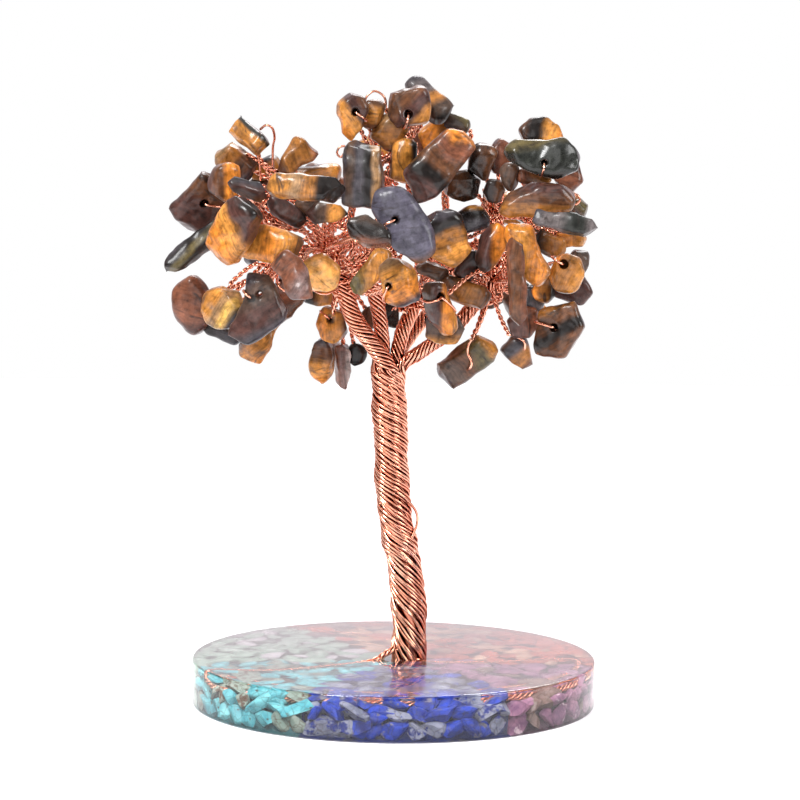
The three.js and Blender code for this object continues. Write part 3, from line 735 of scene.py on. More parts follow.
def twisted(line, wires, radius, lay, phase=0.0, wander=0.0):
    """Wires wound around a line. radius and lay may be functions of the share of its length."""
    frames = frames_along(line)
    step = (line[1] - line[0]).length
    paths = [[] for _ in range(wires)]
    turn = phase
    for index, (point, tangent, side, other) in enumerate(frames):
        share = index / (len(frames) - 1)
        reach = radius(share) if callable(radius) else radius
        turn -= 2 * math.pi * step / (lay(share) if callable(lay) else lay)
        for wire in range(wires):
            angle = turn + 2 * math.pi * wire / wires
            out = reach
            if wander:
                seed = Vector((wire * 5.3, index * step / (9 * MM), phase))
                angle += wander * noise.noise(seed)
                out += wander * 0.9 * MM * noise.noise(seed * 1.7 + Vector((7, 3, 1)))
            paths[wire].append(point + out * (math.cos(angle) * side + math.sin(angle) * other))
    return paths


def wire_piece(name, paths, radius=WIRE_RADIUS, sides=1, finish=copper):
    """One mesh of round wires along the given paths, which rides on the tree."""
    curve = bpy.data.curves.new(name, "CURVE")
    curve.dimensions = "3D"
    curve.bevel_depth = radius
    curve.bevel_resolution = sides
    curve.use_fill_caps = True
    for path in paths:
        spline = curve.splines.new("POLY")
        spline.points.add(len(path) - 1)
        for point, place in zip(spline.points, path):
            point.co = (*place, 1)
    round_wires = object_of(name + "_curve", curve)
    depsgraph = bpy.context.evaluated_depsgraph_get()
    mesh = bpy.data.meshes.new_from_object(round_wires.evaluated_get(depsgraph))
    bpy.data.objects.remove(round_wires)
    mesh.name = name
    mesh.materials.clear()
    mesh.materials.append(finish)
    mesh.polygons.foreach_set("use_smooth", [True] * len(mesh.polygons))
    piece = object_of(name, mesh)
    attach(piece, "root")
    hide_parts("copper_wire_tree")
    print(name, "wires:", len(paths), "faces:", len(mesh.polygons))
    return piece


# %% [markdown]
# ## The trunk
#
# Two dozen wires climb steeply around the trunk. From half way up, other wires come out from
# between them and wind over them, more tightly. None of them lies quite even, which gives the
# trunk its rope-like bumps. A core inside stops the eye from looking through.

# %% Trunk
TRUNK_WIRES = 25
WRAP_WIRES = 16
TRUNK_WIRE_RADIUS = 0.28 * MM
TRUNK_REACH = 3.24 * MM
UNDER_REACH = 2.85 * MM
CORE_RADIUS = 2.6 * MM
TRUNK_STEP = 0.75 * MM
WRAP_START = 0.38
WRAP_FULL = 0.44
WRAP_LIFT = 0.3 * MM
WRAP_RISE = 0.1
TRUNK_WANDER = 0.34
FOOT_DEPTH = 4.2 * MM
FOOT_LAY = 29 * MM
MIDDLE_LAY = 20 * MM
WRAP_LAY = 12 * MM
# The share of the trunk's height, and how far to the right of the fork it is there, in mm.
trunk_bends = [
    (0, 4.8), (0.14, 4.8), (0.3, 3.8), (0.45, 2.0), (0.61, 1.0), (0.76, 0.7), (0.88, 0.2), (0.96, 0)]
trunk_points = [Vector((5 * MM + FORK.x, 0, DISC_TOP - FOOT_DEPTH))]
for share, aside in trunk_bends:
    trunk_points.append(Vector((FORK.x + aside * MM, 0, DISC_TOP + share * (FORK.z - DISC_TOP))))
trunk_line = smooth_line(trunk_points, TRUNK_STEP)


def swell(share):
    """Slow swells along the trunk."""
    return 0.14 * MM * math.sin(share * 31) + 0.1 * MM * math.sin(share * 57 + 1)


def trunk_reach(share):
    """The radius of the steep wires, which goes down where the wrap covers them."""
    covered = min(1, max(0, (share - WRAP_START) / (WRAP_FULL - WRAP_START)))
    return TRUNK_REACH + covered * (UNDER_REACH - TRUNK_REACH) + swell(share)


def trunk_lay(share):
    """The height of one turn of the steep wires."""
    return FOOT_LAY + (MIDDLE_LAY - FOOT_LAY) * min(1, share * 1.6)


def wrap_reach(share):
    """The radius of the wrap, which comes out from under the steep wires."""
    out = min(1, share / WRAP_RISE)
    low = UNDER_REACH - WRAP_LIFT
    return low + out * (TRUNK_REACH + WRAP_LIFT - UNDER_REACH) + swell(0.4 + 0.6 * share)


def wrap_lay(share):
    """The height of one turn of the wrap."""
    return MIDDLE_LAY + (WRAP_LAY - MIDDLE_LAY) * min(1, share * 1.5)


trunk_paths = twisted(trunk_line, TRUNK_WIRES, trunk_reach, trunk_lay, wander=TRUNK_WANDER)
wrap_line = trunk_line[round(WRAP_START * len(trunk_line)):]
wrap_paths = twisted(wrap_line, WRAP_WIRES, wrap_reach, wrap_lay, phase=0.1, wander=TRUNK_WANDER)
wire_piece("trunk_core", [trunk_line[2:-2]], radius=CORE_RADIUS, sides=6, finish=copper_rope)
print("trunk wires:", len(trunk_paths), "wrapped by", len(wrap_paths))

# %% [markdown]
# ## The limbs
#
# At the fork the trunk's wires part into six limbs. Each limb is laid out as a bundle of its own
# that starts inside the trunk. Four wires of it are cut a little above the fork, and each is joined
# to the trunk wire that ends nearest, by a curve that leaves one in its own direction and enters
# the other in its. That gives the swirl of a splice. Every limb ends in a knot of the crown, where
# its wires part.

# %% Ways of the limbs
knots = {
    "front_left": (-9, 15, -4),
    "left": (-13, 22, -3),
    "far_left": (-22, 22, -1),
    "high_left": (-20, 34, 0.5),
    "middle": (-3.2, 14.5, 0.5),
    "high_middle": (-2, 28, 0),
    "crest": (1, 41, -1),
    "middle_right": (6, 13, 3),
    "high_middle_right": (9, 28, 3),
    "right": (20.5, 16, -3),
    "high_right": (21.5, 29, -1),
    "far_right": (30, 29, 0),
    "low_right": (28, 12, -1),
    "back_left": (-10, 18, 11),
    "back_right": (12, 18, 11),
    "back_crest_left": (-7, 33, 10),
    "back_crest_right": (11, 34, 10),
    "far_back_left": (-24, 18, 9),
    "far_back_right": (27, 18, 9),
}
# Each limb is its way, the number of its wires and its radius. A name in a way is a knot.
main_limbs = [
    ([(1.6, -8, -1.2), (1.3, -4.4, -1.9), (-0.6, -0.4, -2.2), (-3.6, 3.8, -2.4), (-7, 8.6, -3),
      "front_left", (-10.4, 17.6, -4)], 10, 1.5),
    ([(-1, -7, -0.8), (-1.1, 0, -0.6), (-1.3, 5, 0.2), (-2.2, 10.4, 0.8), "middle"], 9, 1.25),
    ([(1.6, -7, 0.4), (1.7, 0, 0.2), (2.6, 5, 1), (3.8, 8, 2), "middle_right"], 9, 1.25),
    ([(1.8, -8, -0.4), (2.3, -3, -0.6), (4, -0.2, -1), (7.2, 2.2, -1.6), (13.2, 6.8, -2.5), "right"],
     9, 1.2),
    ([(-1, -6, 1.2), (-1.8, 0, 1.8), (-4, 4.6, 5), (-8, 11, 9), "back_left"], 8, 1.1),
    ([(1, -6, 1.2), (1.8, 0, 1.8), (4.2, 4.4, 6), (9, 11, 9.5), "back_right"], 8, 1.1),
]
upper_limbs = [
    (["front_left", "left"], 7, 0.85),
    (["left", "far_left"], 6, 0.65),
    (["left", (-16, 29, 0), "high_left"], 6, 0.65),
    (["middle", (-3, 22, 0), "high_middle"], 7, 0.8),
    (["high_middle", "crest"], 6, 0.6),
    (["middle_right", (8, 20, 4), "high_middle_right"], 6, 0.7),
    (["middle_right", (11.4, 15.8, 0.5), "right"], 5, 0.6),
    (["right", "high_right"], 6, 0.7),
    (["high_right", "far_right"], 5, 0.5),
    (["right", "low_right"], 5, 0.5),
    (["back_left", "back_crest_left"], 5, 0.55),
    (["back_right", "back_crest_right"], 5, 0.55),
    (["back_left", "far_back_left"], 5, 0.55),
    (["back_right", "far_back_right"], 5, 0.55),
]
print("knots:", len(knots), "limbs:", len(main_limbs) + len(upper_limbs))

# %% Limbs
LIMB_STEP = 0.5 * MM
LIMB_LAY = 10 * MM
SPLICE_LEAD = 4 * MM
JOINED_WIRES = 4
INNER_WIRES = 5
BRIDGE_STEP = 0.4 * MM
SPLICE_HEIGHT = 1.6 * MM
LIMB_WANDER = 0.16
UPPER_LAY = 5.5 * MM


def resolved(places):
    """A way with the places of its knots in place of their names."""
    return [knots[place] if isinstance(place, str) else place for place in places]


def heading(path):
    """Where a wire would be a little past its end."""
    return path[-1] + (path[-1] - path[-3]).normalized() * SPLICE_LEAD


def join(lower, upper):
    """One wire from two, with a smooth curve between the end of one and the start of the other."""
    start = lower[-1]
    end = upper[0]
    reach = (end - start).length
    leave = (lower[-1] - lower[-3]).normalized() * reach
    enter = (upper[2] - upper[0]).normalized() * reach
    steps = max(3, round(reach / BRIDGE_STEP))
    bridge = []
    for step in range(1, steps):
        t = step / steps
        bridge.append((2 * t ** 3 - 3 * t ** 2 + 1) * start + (t ** 3 - 2 * t ** 2 + t) * leave
                      + (3 * t ** 2 - 2 * t ** 3) * end + (t ** 3 - t ** 2) * enter)
    return lower + bridge + upper


free_wires = wrap_paths + trunk_paths
limb_paths = []
for number, (places, wires, reach) in enumerate(main_limbs):
    line = crown_line(resolved(places), LIMB_STEP)
    bundle = twisted(line, wires, reach * MM, LIMB_LAY, phase=number, wander=LIMB_WANDER)
    for wire, path in enumerate(bundle):
        if wire < JOINED_WIRES and free_wires:
            path = [point for point in path if point.z > FORK.z + SPLICE_HEIGHT]
            nearest = min(free_wires, key=lambda other: (heading(other) - path[0]).length)
            free_wires.remove(nearest)
            path = join(nearest, path)
        limb_paths.append(path)
    limb_paths += twisted(line, INNER_WIRES, 0.5 * reach * MM, LIMB_LAY, phase=number)
loose_bend = [(2, -26.4, -3.5), (4, -28, -2.8), (5.9, -30.6, -1.6), (6.1, -33, -1.4), (5, -36, -2.2)]
limb_paths.append(crown_line(loose_bend, BRIDGE_STEP))
wire_piece(
    "trunk_and_limb_wires", limb_paths + free_wires, radius=TRUNK_WIRE_RADIUS, sides=2,
    finish=copper_rope)
upper_paths = []
for number, (places, wires, reach) in enumerate(upper_limbs):
    line = crown_line(resolved(places), LIMB_STEP)
    upper_paths += twisted(line, wires, reach * MM, UPPER_LAY, phase=number, wander=LIMB_WANDER)
wire_piece("upper_limb_wires", upper_paths)
print("trunk wires left at the fork:", len(free_wires))

# %% [markdown]
# ## The twigs
#
# Every chip hangs on two wires twisted together, which leave the nearest knot. The straight way
# is often barred by another chip, so the helper tries the straight line first and then bowed
# ones, and takes the first that keeps clear. A tree of all chip faces answers how near a point
# comes to them.

# %% Where the twigs run
TWIG_REACH = 0.25 * MM
TWIG_LAY = 2.6 * MM
TWIG_STEP = 0.28 * MM
TWIG_CLEARANCE = 0.45 * MM
TRIAL_STEP = 1.2 * MM
SEARCH_RADIUS = 4 * MM
BOWS = [0, 2, -2, 4, -4, 6, -6, 8, -8]
NEAR_KNOTS = 5
knot_points = [crown_point(*place) for place in knots.values()]
stone_trees = [BVHTree.FromBMesh(chip["block"]) for chip in chips]


def middle_of(block):
    """The mean of a block's corners."""
    total = Vector()
    for vert in block.verts:
        total += vert.co
    return total / len(block.verts)


def touches(point, own):
    """True where the point is inside another chip or nearly touches it."""
    for number, stone_tree in enumerate(stone_trees):
        if number == own:
            continue
        near, normal, _, distance = stone_tree.find_nearest(point, SEARCH_RADIUS)
        if near is None:
            continue
        inside = (point - near).dot(normal) < 0
        if inside or distance < TWIG_CLEARANCE:
            return True
    return False


def twig_line(own, tip):
    """The clearest way from a near knot to a chip, as three points."""
    near = sorted(knot_points, key=lambda knot: (knot - tip).length)[:NEAR_KNOTS]
    best = None
    for knot in near:
        for bow in BOWS:
            for lift in BOWS:
                middle = (knot + tip) / 2 + Vector((bow, 0, lift)) * MM
                line = smooth_line([knot, middle, tip], TRIAL_STEP)
                barred = sum(touches(point, own) for point in line[1:-2])
                if best is None or barred < best[0]:
                    best = (barred, [knot, middle, tip])
                if barred == 0:
                    return best
    return best


twigs = []
for own, chip in enumerate(chips):
    twigs.append(twig_line(own, middle_of(chip["block"])))
print("twigs:", len(twigs), "not quite clear:", sum(twig[0] > 0 for twig in twigs))

# %% Tangles
# Where limbs part, short twisted pairs run in all directions: the middle, half size and number
# of pairs of each tangle, in millimetres.
tangles = [
    ((-10, 20, -3), (6.5, 6.5, 4), 8),
    ((-4.5, 15.5, -3.5), (6.5, 4.5, 4), 10),
    ((-1.5, 20, -5), (5, 6, 4), 7),
    ((5, 13, 0), (4, 4, 4), 7),
    ((21.5, 18, -4), (4.5, 6, 4), 11),
    ((20, 30, -3), (2.2, 6, 2), 8),
    ((14.5, 22, -2), (6, 3, 2), 8),
    ((32, 27, -3), (6, 3, 3), 10),
    ((-22, 30, -2), (7, 5, 3), 12),
    ((-20, 20, -6), (6, 4, 3), 10),
    ((0, 40, -2), (6, 7, 3), 10),
    ((-10, 22, 10), (7, 7, 5), 14),
    ((12, 22, 10), (7, 7, 5), 14),
]
TRIES_PER_PAIR = 12
CHECK_STEP = 0.9 * MM


def tangle(center, half, pairs, chance):
    """Twisted pairs that wander through a small space and keep clear of the chips."""
    lines = []
    tries = 0
    while len(lines) < pairs and tries < pairs * TRIES_PER_PAIR:
        tries += 1
        places = []
        for _ in range(chance.choice((3, 4))):
            places.append([
                middle + chance.uniform(-1, 1) * reach for middle, reach in zip(center, half)])
        if not any(touches(point, None) for point in crown_line(places, CHECK_STEP)):
            lines.append(crown_line(places, WIRE_STEP))
    return lines


def wire_halves(name, paths):
    """Two pieces of about as many wires each, so that neither gets too large."""
    half = len(paths) // 2
    wire_piece(name + "_a", paths[:half])
    wire_piece(name + "_b", paths[half:])


chance = random.Random(21)
tangle_paths = []
for center, half, pairs in tangles:
    for line in tangle(center, half, pairs, chance):
        tangle_paths += twisted(line, 2, TWIG_REACH, TWIG_LAY, phase=len(tangle_paths))
wire_halves("tangle_wires", tangle_paths)

# %% Twist the twigs
twig_paths = []
for number, (_, points) in enumerate(twigs):
    line = smooth_line(points, TWIG_STEP)
    twig_paths += twisted(line, 2, TWIG_REACH, TWIG_LAY, phase=number)
wire_halves("twig_wires", twig_paths)

# %% [markdown]
# ## The wires at the holes
#
# A drilled chip is threaded: one wire comes out of its hole, lies over its face and bends round
# its edge to the twig behind. The directions over the face, in degrees anticlockwise from "to the
# right", are those that show from the front. A ray from the hole finds the edge.

# %% Threaded wires
threads = {
    "chip_top_front": [-105],
    "chip_top_pair_left": [-35],
    "chip_left_plum": [-15],
    "chip_left_big_slate": [140],
    "chip_under_orange": [140],
    "chip_middle_tear": [205],
    "chip_middle_drilled": [-115],
    "chip_front_stub": [200, -35],
    "chip_right_big_green": [-100],
    "chip_right_heart": [150],
    "chip_right_low_big": [165],
}
HOLE_SIDE = 1.2 * MM
FACE_SIDE = 1.3 * MM
FAR_OUT = 20 * MM


def threaded(chip, stone_tree, angle):
    """The way of a wire out of a chip's hole, over its face and round its edge."""
    middle, axis = chip["hole"]
    turn = math.radians(angle)
    over = Vector((math.cos(turn), 0, math.sin(turn)))
    over = (over - over.dot(axis) * axis).normalized()
    start = middle + HOLE_SIDE * over
    edge = HOLE_SIDE + (stone_tree.ray_cast(start, over)[3] or 3 * MM)
    face = stone_tree.ray_cast(middle + FAR_OUT * axis + FACE_SIDE * over, -axis)
    high = (face[0] - middle).dot(axis)
    # How far the wire is out along the hole's axis, and how far aside, from hole to twig.
    way = [
        (high - 1.6 * MM, 0), (high - 0.2 * MM, 0.1 * MM), (high + 0.35 * MM, 0.8 * MM),
        (high + 0.32 * MM, 0.65 * edge), (0.4 * high, edge + 0.3 * MM),
        (-1.3 * high, edge - 0.2 * MM)]
    return [middle + out * axis + aside * over for out, aside in way]


thread_paths = []
for chip, stone_tree in zip(chips, stone_trees):
    for angle in threads.get(chip["node"], []):
        thread_paths.append(smooth_line(threaded(chip, stone_tree, angle), WIRE_STEP))
print("threaded wires:", len(thread_paths))

# %% [markdown]
# ## Loops and hanging chips
#
# A few wires show on their own: open rings where a wire was bent back, and twisted twigs on which
# the lowest chips hang. Each is a line through places given as in the crown, and where a wire lies
# on a chip its depth is taken from that chip's own front.

# %% Loops and hangers
WIRE_GAP = 0.35


def before(node):
    """The depth just before a chip's front, in millimetres."""
    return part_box(node)[0].y / MM - WIRE_GAP


low_front = before("chip_low_big")
small_front = before("chip_low_small")
block_front = before("chip_high_left_block")
single_wires = [
    [(-5.2, 50, -5), (-4.8, 52.2, -5), (-3.2, 53.4, -4.8), (-1.4, 52.4, -4.6), (-1, 50.6, -4.6),
     (-2.4, 49.2, -4.6)],
    [(-25.6, 45.6, block_front + 2.4), (-24.4, 46.4, block_front + 1), (-23.2, 45.8, block_front + 1.2),
     (-22.8, 44, block_front + 3), (-23.2, 42, -3), (-23.2, 37.6, -2)],
    [(-26.2, 40.6, -3.6), (-25.8, 38.4, -3), (-25.6, 35.6, -2)],
    [(-8.8, 42.4, -11), (-9.9, 42.2, -11), (-10.4, 41, -11), (-9.6, 40.2, -11), (-8.9, 41.2, -11)],
    [(-22, 17, -8), (-21.8, 15.2, -16.2), (-20.4, 13.9, -16), (-19.4, 14.6, -10)],
    [(-15.2, 14.2, -11), (-12.6, 13.2, -12), (-9.8, 14.4, -10)],
    [(16.4, 4.4, low_front), (15.8, 3.2, low_front - 0.1), (15.8, 1.6, low_front),
     (16.5, 0, low_front - 0.1), (16.2, -1.2, low_front + 0.2), (15.6, -1.6, low_front + 1.6)],
    [(23.9, 5.4, small_front + 0.4), (25.4, 5, small_front - 0.1), (26.9, 4, small_front),
     (27, 2.6, small_front + 0.6), (26.4, 1.6, small_front + 1.6)],
    [(35.6, 33, -8), (36.8, 33.4, -8), (37.4, 32.2, -8), (36.4, 31.4, -8), (35.8, 32, -7)],
]
hanging_twigs = [
    ["right", (19.6, 12, -5), (18.2, 8, -6.5), (16.9, 5.6, -7.5), (16.4, 4.4, low_front)],
    ["right", (20.8, 13.2, -4), (22.2, 8.8, -4), (23.9, 5.4, small_front + 0.4)],
    [(-24.4, 18.6, -4), (-26.8, 18.8, -5), (-30.8, 15.6, -6), (-31.6, 14, -7)],
    [(-28.4, 40.8, -2), (-26.4, 39.6, -3), (-23.6, 38, -3), (-21.8, 37, -2)],
    [(-5.8, 49.4, -7.4), (-4.6, 47.2, -5), (-3.4, 44, -3), (-2.4, 41, -2)],
    [(2.4, 47, -6), (3.2, 44.6, -4.4), (3.6, 42, -3)],
    [(4.4, 46.6, -5), (4, 44, -4), (2.6, 41.6, -3)],
]
for places in single_wires:
    thread_paths.append(crown_line(places, WIRE_STEP))
for number, places in enumerate(hanging_twigs):
    line = crown_line(resolved(places), TWIG_STEP)
    thread_paths += twisted(line, 2, TWIG_REACH, TWIG_LAY, phase=number)
wire_piece("threaded_wires", thread_paths)

# %% [markdown]
# ## The disc
#
# The disc is a cast of clear resin. It is a profile with small rounded edges spun around the
# upright axis. The surface is closed and lets light through, so the stones and wires inside are
# seen bent and mirrored as in the real one. The wall took the polish of the mould, while the open
# top face set a little cloudy. So the roughness rises there, under a coat that still mirrors.

# %% Resin
resin, tree, links, shader = new_material(
    "clear_resin", base_color=(0.965, 0.955, 0.965, 1), transmission_weight=1.0, ior=1.5,
    coat_roughness=0.02)
place = place_in(tree)
height = add_node(tree, "ShaderNodeSeparateXYZ", {"Vector": place}).outputs["Z"]
top = spread(tree, height, 0, 1, DISC_TOP - 0.3 * MM, DISC_TOP - 0.1 * MM)
cloud = noise_of(tree, place, 90, 4, 0.6)
cloudy = spread(tree, cloud, 0.1, 0.34, 0.3, 0.7)
rough = add_node(tree, "ShaderNodeMix", {"Factor": top, 2: 0.03, 3: cloudy})
links.new(rough.outputs[0], shader.inputs["Roughness"])
skin = add_node(tree, "ShaderNodeMath", {0: top, 1: 0.75}, operation="MULTIPLY")
links.new(skin.outputs[0], shader.inputs["Coat Weight"])
relief(resin, cloud, 0.12, 0.0002)
print("resin is ready")

# %% Cast
EDGE = 0.5 * MM
DISC_STEPS = 128
CAST_SHARPNESS = math.radians(50)
half_profile = [(0, 0), (DISC_RADIUS - EDGE, 0)]
for step in range(1, 5):
    turn = math.radians(22.5 * step)
    half_profile.append((DISC_RADIUS - EDGE + EDGE * math.sin(turn), EDGE - EDGE * math.cos(turn)))
profile = half_profile + [(radius, DISC_TOP - height) for radius, height in reversed(half_profile)]
cast = bmesh.new()
corners = [cast.verts.new((radius, 0, height)) for radius, height in profile]
edges = [cast.edges.new(pair) for pair in zip(corners, corners[1:])]
bmesh.ops.spin(
    cast, geom=corners + edges, cent=(0, 0, 0), axis=(0, 0, 1), angle=2 * math.pi, steps=DISC_STEPS,
    use_merge=True)
bmesh.ops.remove_doubles(cast, verts=cast.verts, dist=1e-6)
bmesh.ops.recalc_face_normals(cast, faces=cast.faces)
mesh = mesh_of("disc_resin", cast, resin)
mesh.set_sharp_from_angle(angle=CAST_SHARPNESS)
disc = object_of("disc_resin", mesh)
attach(disc, "root")
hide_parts("resin_disc")
disc.visible_shadow = False
print("disc closed:", all(edge.is_manifold for edge in cast.edges))

# %% [markdown]
# ## The stones sealed in the disc
#
# Chips of coloured stone lie in the resin in wedges like a colour wheel: turquoise, lapis and
# amethyst in front, carnelian, citrine and aventurine behind them, with some clear and smoky
# quartz between. Each stone gets its own finish, and turquoise and lapis have a duller one too.

# %% Finishes of the sealed stones


def speckled(name, body, speck, vein, roughness, speck_size, speck_share):
    """A stone of two body tones with specks of another colour and thin veins."""
    material, tree, links, shader = new_material(name, roughness=roughness, specular_ior_level=0.15)
    place = place_in(tree)
    cloud = noise_of(tree, place, 260, 4, 0.6)
    body_tone = ramp(tree, cloud, [(0.35, body[0]), (0.65, body[1])])
    specks = noise_of(tree, place, speck_size, 3, 0.7)
    speck_mask = ramp(tree, specks, [(speck_share - 0.05, 1), (speck_share, 0)])
    specked = mixed(tree, speck_mask, body_tone, (*speck, 1))
    cracks = add_node(tree, "ShaderNodeTexVoronoi", {
        "Vector": place, "Scale": 520}, feature="DISTANCE_TO_EDGE")
    crack_mask = ramp(tree, cracks.outputs["Distance"], [(0.0, 0.75), (0.05, 0)])
    links.new(mixed(tree, crack_mask, specked, (*vein, 1)), shader.inputs["Base Color"])
    return material


# The two body tones, the specks, the veins, then roughness, size and share of the specks.
STONES = {
    "turquoise": (
        [(0.05, 0.28, 0.33), (0.17, 0.5, 0.53)], (0.05, 0.035, 0.018), (0.035, 0.11, 0.1), 0.32, 620, 0.37),
    "turquoise_matrix": (
        [(0.17, 0.24, 0.2), (0.26, 0.3, 0.25)], (0.08, 0.045, 0.025), (0.07, 0.035, 0.02), 0.4, 420, 0.47),
    "lapis": (
        [(0.006, 0.01, 0.1), (0.014, 0.05, 0.42)], (0.16, 0.15, 0.17), (0.003, 0.004, 0.03), 0.3, 330, 0.42),
    "lapis_grey": (
        [(0.1, 0.11, 0.16), (0.26, 0.27, 0.34)], (0.01, 0.02, 0.16), (0.05, 0.04, 0.04), 0.4, 420, 0.47),
    "amethyst": (
        [(0.12, 0.045, 0.1), (0.32, 0.15, 0.22)], (0.46, 0.34, 0.38), (0.09, 0.04, 0.08), 0.2, 300, 0.38),
    "smoky": (
        [(0.1, 0.055, 0.045), (0.22, 0.14, 0.12)], (0.3, 0.22, 0.2), (0.05, 0.03, 0.02), 0.25, 340, 0.38),
    "carnelian": (
        [(0.3, 0.06, 0.035), (0.42, 0.115, 0.07)], (0.2, 0.03, 0.02), (0.24, 0.06, 0.04), 0.28, 340, 0.38),
    "citrine": (
        [(0.36, 0.17, 0.09), (0.44, 0.28, 0.2)], (0.26, 0.11, 0.06), (0.3, 0.18, 0.12), 0.25, 380, 0.38),
    "aventurine": (
        [(0.17, 0.26, 0.2), (0.3, 0.38, 0.32)], (0.4, 0.44, 0.4), (0.13, 0.2, 0.16), 0.3, 320, 0.4),
    "quartz": (
        [(0.34, 0.32, 0.34), (0.46, 0.43, 0.45)], (0.3, 0.24, 0.3), (0.34, 0.3, 0.32), 0.2, 300, 0.36),
}
# How much darker the beds are: painted shade in the gaps between the sealed stones.
BED_SHADE = 0.22


def shaded(color):
    """A darker copy of a colour, for the painted shade of the beds."""
    return tuple(BED_SHADE * value for value in color)


sealed_finishes = {name: speckled(name, *finish) for name, finish in STONES.items()}
# Darker copies of the stone finishes for the beds: painted shade between the stones.
shaded_bed_finishes = {}
for name, (body, speck, vein, *numbers) in STONES.items():
    shaded_body = [shaded(color) for color in body]
    shaded_bed_finishes[name] = speckled(name + "_bed", shaded_body, shaded(speck), shaded(vein), *numbers)
print("finishes of sealed stones:", len(sealed_finishes))

# %% [markdown]
# The stones lie in three ways. Flat chips lie in two layers under the top face. Others stand in
# two rows against the wall. A bumpy bed of each wedge's first stone, darkened as painted shade,
# fills what the eye can't tell apart. All keep a thin skin of resin over them.

# %% Helpers for the sealed stones
# The wedges go round the disc anticlockwise from the right, in degrees.
wedges = [
    (-55, -5, ("amethyst", "amethyst", "amethyst", "amethyst", "smoky")),
    (-5, 62, ("carnelian", "carnelian", "carnelian", "citrine")),
    (62, 122, ("citrine", "carnelian", "citrine", "smoky")),
    (122, 190, ("aventurine", "quartz", "aventurine", "aventurine")),
    (190, 243, ("turquoise", "turquoise", "turquoise", "turquoise_matrix")),
    (243, 305, ("lapis", "lapis", "lapis", "lapis_grey", "lapis_grey")),
]
SKIN_OF_RESIN = 0.25 * MM
SEALED_CUTS = 8
SEALED_SHARE = (0.1, 0.34)


def sealed_chip(place, size, turn, subdivisions):
    """A little ground chip: a ball of a few dozen faces, pressed flat in places and stretched."""
    chip = bmesh.new()
    bmesh.ops.create_icosphere(chip, subdivisions=subdivisions, radius=1)
    grind(chip, chance, SEALED_CUTS, share=SEALED_SHARE)
    low, high = corners_of(chip)
    for vert in chip.verts:
        for axis in range(3):
            vert.co[axis] = 2 * (vert.co[axis] - low[axis]) / (high[axis] - low[axis]) - 1
    bmesh.ops.scale(chip, vec=size, verts=chip.verts)
    bmesh.ops.rotate(chip, cent=(0, 0, 0), matrix=turn, verts=chip.verts)
    bmesh.ops.translate(chip, vec=place, verts=chip.verts)
    return chip


def around(away, angle, height):
    """The point at a distance from the disc's axis, in a direction in degrees, at a height."""
    turn = math.radians(angle)
    return Vector((away * math.cos(turn), away * math.sin(turn), height))


def wedge_of(angle):
    """The stones of the wedge that holds a direction."""
    for start, end, stones in wedges:
        if start <= angle < end or start <= angle - 360 < end:
            return stones
    return wedges[-1][2]


def add_chip(stone_name, spot, size, turn, subdivisions):
    """Adds one chip to the piece of its kind."""
    chip = sealed_chip(spot, size, turn, subdivisions)
    low, high = corners_of(chip)
    lift = max(0, SKIN_OF_RESIN - low.z) - max(0, high.z - DISC_TOP + SKIN_OF_RESIN)
    bmesh.ops.translate(chip, vec=(0, 0, lift), verts=chip.verts)
    mesh = bpy.data.meshes.new("sealed")
    chip.to_mesh(mesh)
    sealed[stone_name].from_mesh(mesh)
    bpy.data.meshes.remove(mesh)
    chip.free()


print("wedges of stones:", len(wedges))

# %% Chips under the top face
# The height of each layer and the half thickness of its chips, in mm.
TOP_LAYERS = [(5.4, 1.7), (6.8, 1.3)]
TOP_TRIES = 3200
TOP_LENGTHS = (2.4, 4.6)
TOP_WIDTHS = (0.55, 0.8)
TOP_THICKNESSES = (0.85, 1.05)
TOP_TILT = 0.35
RIM_CLEARANCE = 4.5 * MM
CLOSE = 0.66

chance = random.Random(5)
sealed = {name: bmesh.new() for name in sealed_finishes}
placed = []
for height, half_height in TOP_LAYERS:
    for _ in range(TOP_TRIES):
        angle = chance.uniform(0, 360)
        long = chance.uniform(*TOP_LENGTHS) * MM
        away = math.sqrt(chance.uniform(0.02, 1)) * (DISC_RADIUS - RIM_CLEARANCE)
        spot = around(away, angle, height * MM)
        level = [other for other in placed if abs(other[0].z - spot.z) < 1e-4]
        if any((spot - other).length < CLOSE * (long + reach) for other, reach in level):
            continue
        placed.append((spot, long))
        turn = Matrix.Rotation(chance.uniform(0, 2 * math.pi), 3, "Z")
        turn = turn @ Matrix.Rotation(chance.uniform(-TOP_TILT, TOP_TILT), 3, "X")
        wide = long * chance.uniform(*TOP_WIDTHS)
        size = (long, wide, half_height * MM * chance.uniform(*TOP_THICKNESSES))
        add_chip(chance.choice(wedge_of(angle)), spot, size, turn, 2)
print("chips under the top face:", len(placed))

# %% Chips along the wall
# The height of each row, the least and the greatest half height of its chips, in mm, and how far
# they lean, in radians.
WALL_ROWS = [(2.35, 1.8, 2.3, 0.3), (5.4, 1.1, 1.7, 0.6)]
WALL_LENGTHS = (1.9, 2.3, 2.7, 3.1, 3.9)
WALL_DEPTHS = (1.5, 2.2)
WALL_LIFT = 0.2
WALL_GAP = 0.35 * MM
HALF_PITCH = 0.72

for height, low, high, tilt in WALL_ROWS:
    angle = 0
    while angle < 358:
        long = chance.choice(WALL_LENGTHS) * MM
        deep = chance.uniform(*WALL_DEPTHS) * MM
        away = DISC_RADIUS - WALL_GAP - deep
        angle += math.degrees(HALF_PITCH * long / away)
        spot = around(away, angle, (height + chance.uniform(-WALL_LIFT, WALL_LIFT)) * MM)
        turn = Matrix.Rotation(math.radians(angle + 90), 3, "Z")
        turn = turn @ Matrix.Rotation(chance.uniform(-tilt, tilt), 3, "Y")
        stone = chance.choice(wedge_of(angle))
        add_chip(stone, spot, (long, deep, chance.uniform(low, high) * MM), turn, 3)
        placed.append((spot, long))
        angle += math.degrees(HALF_PITCH * long / away)
print("sealed chips:", len(placed))

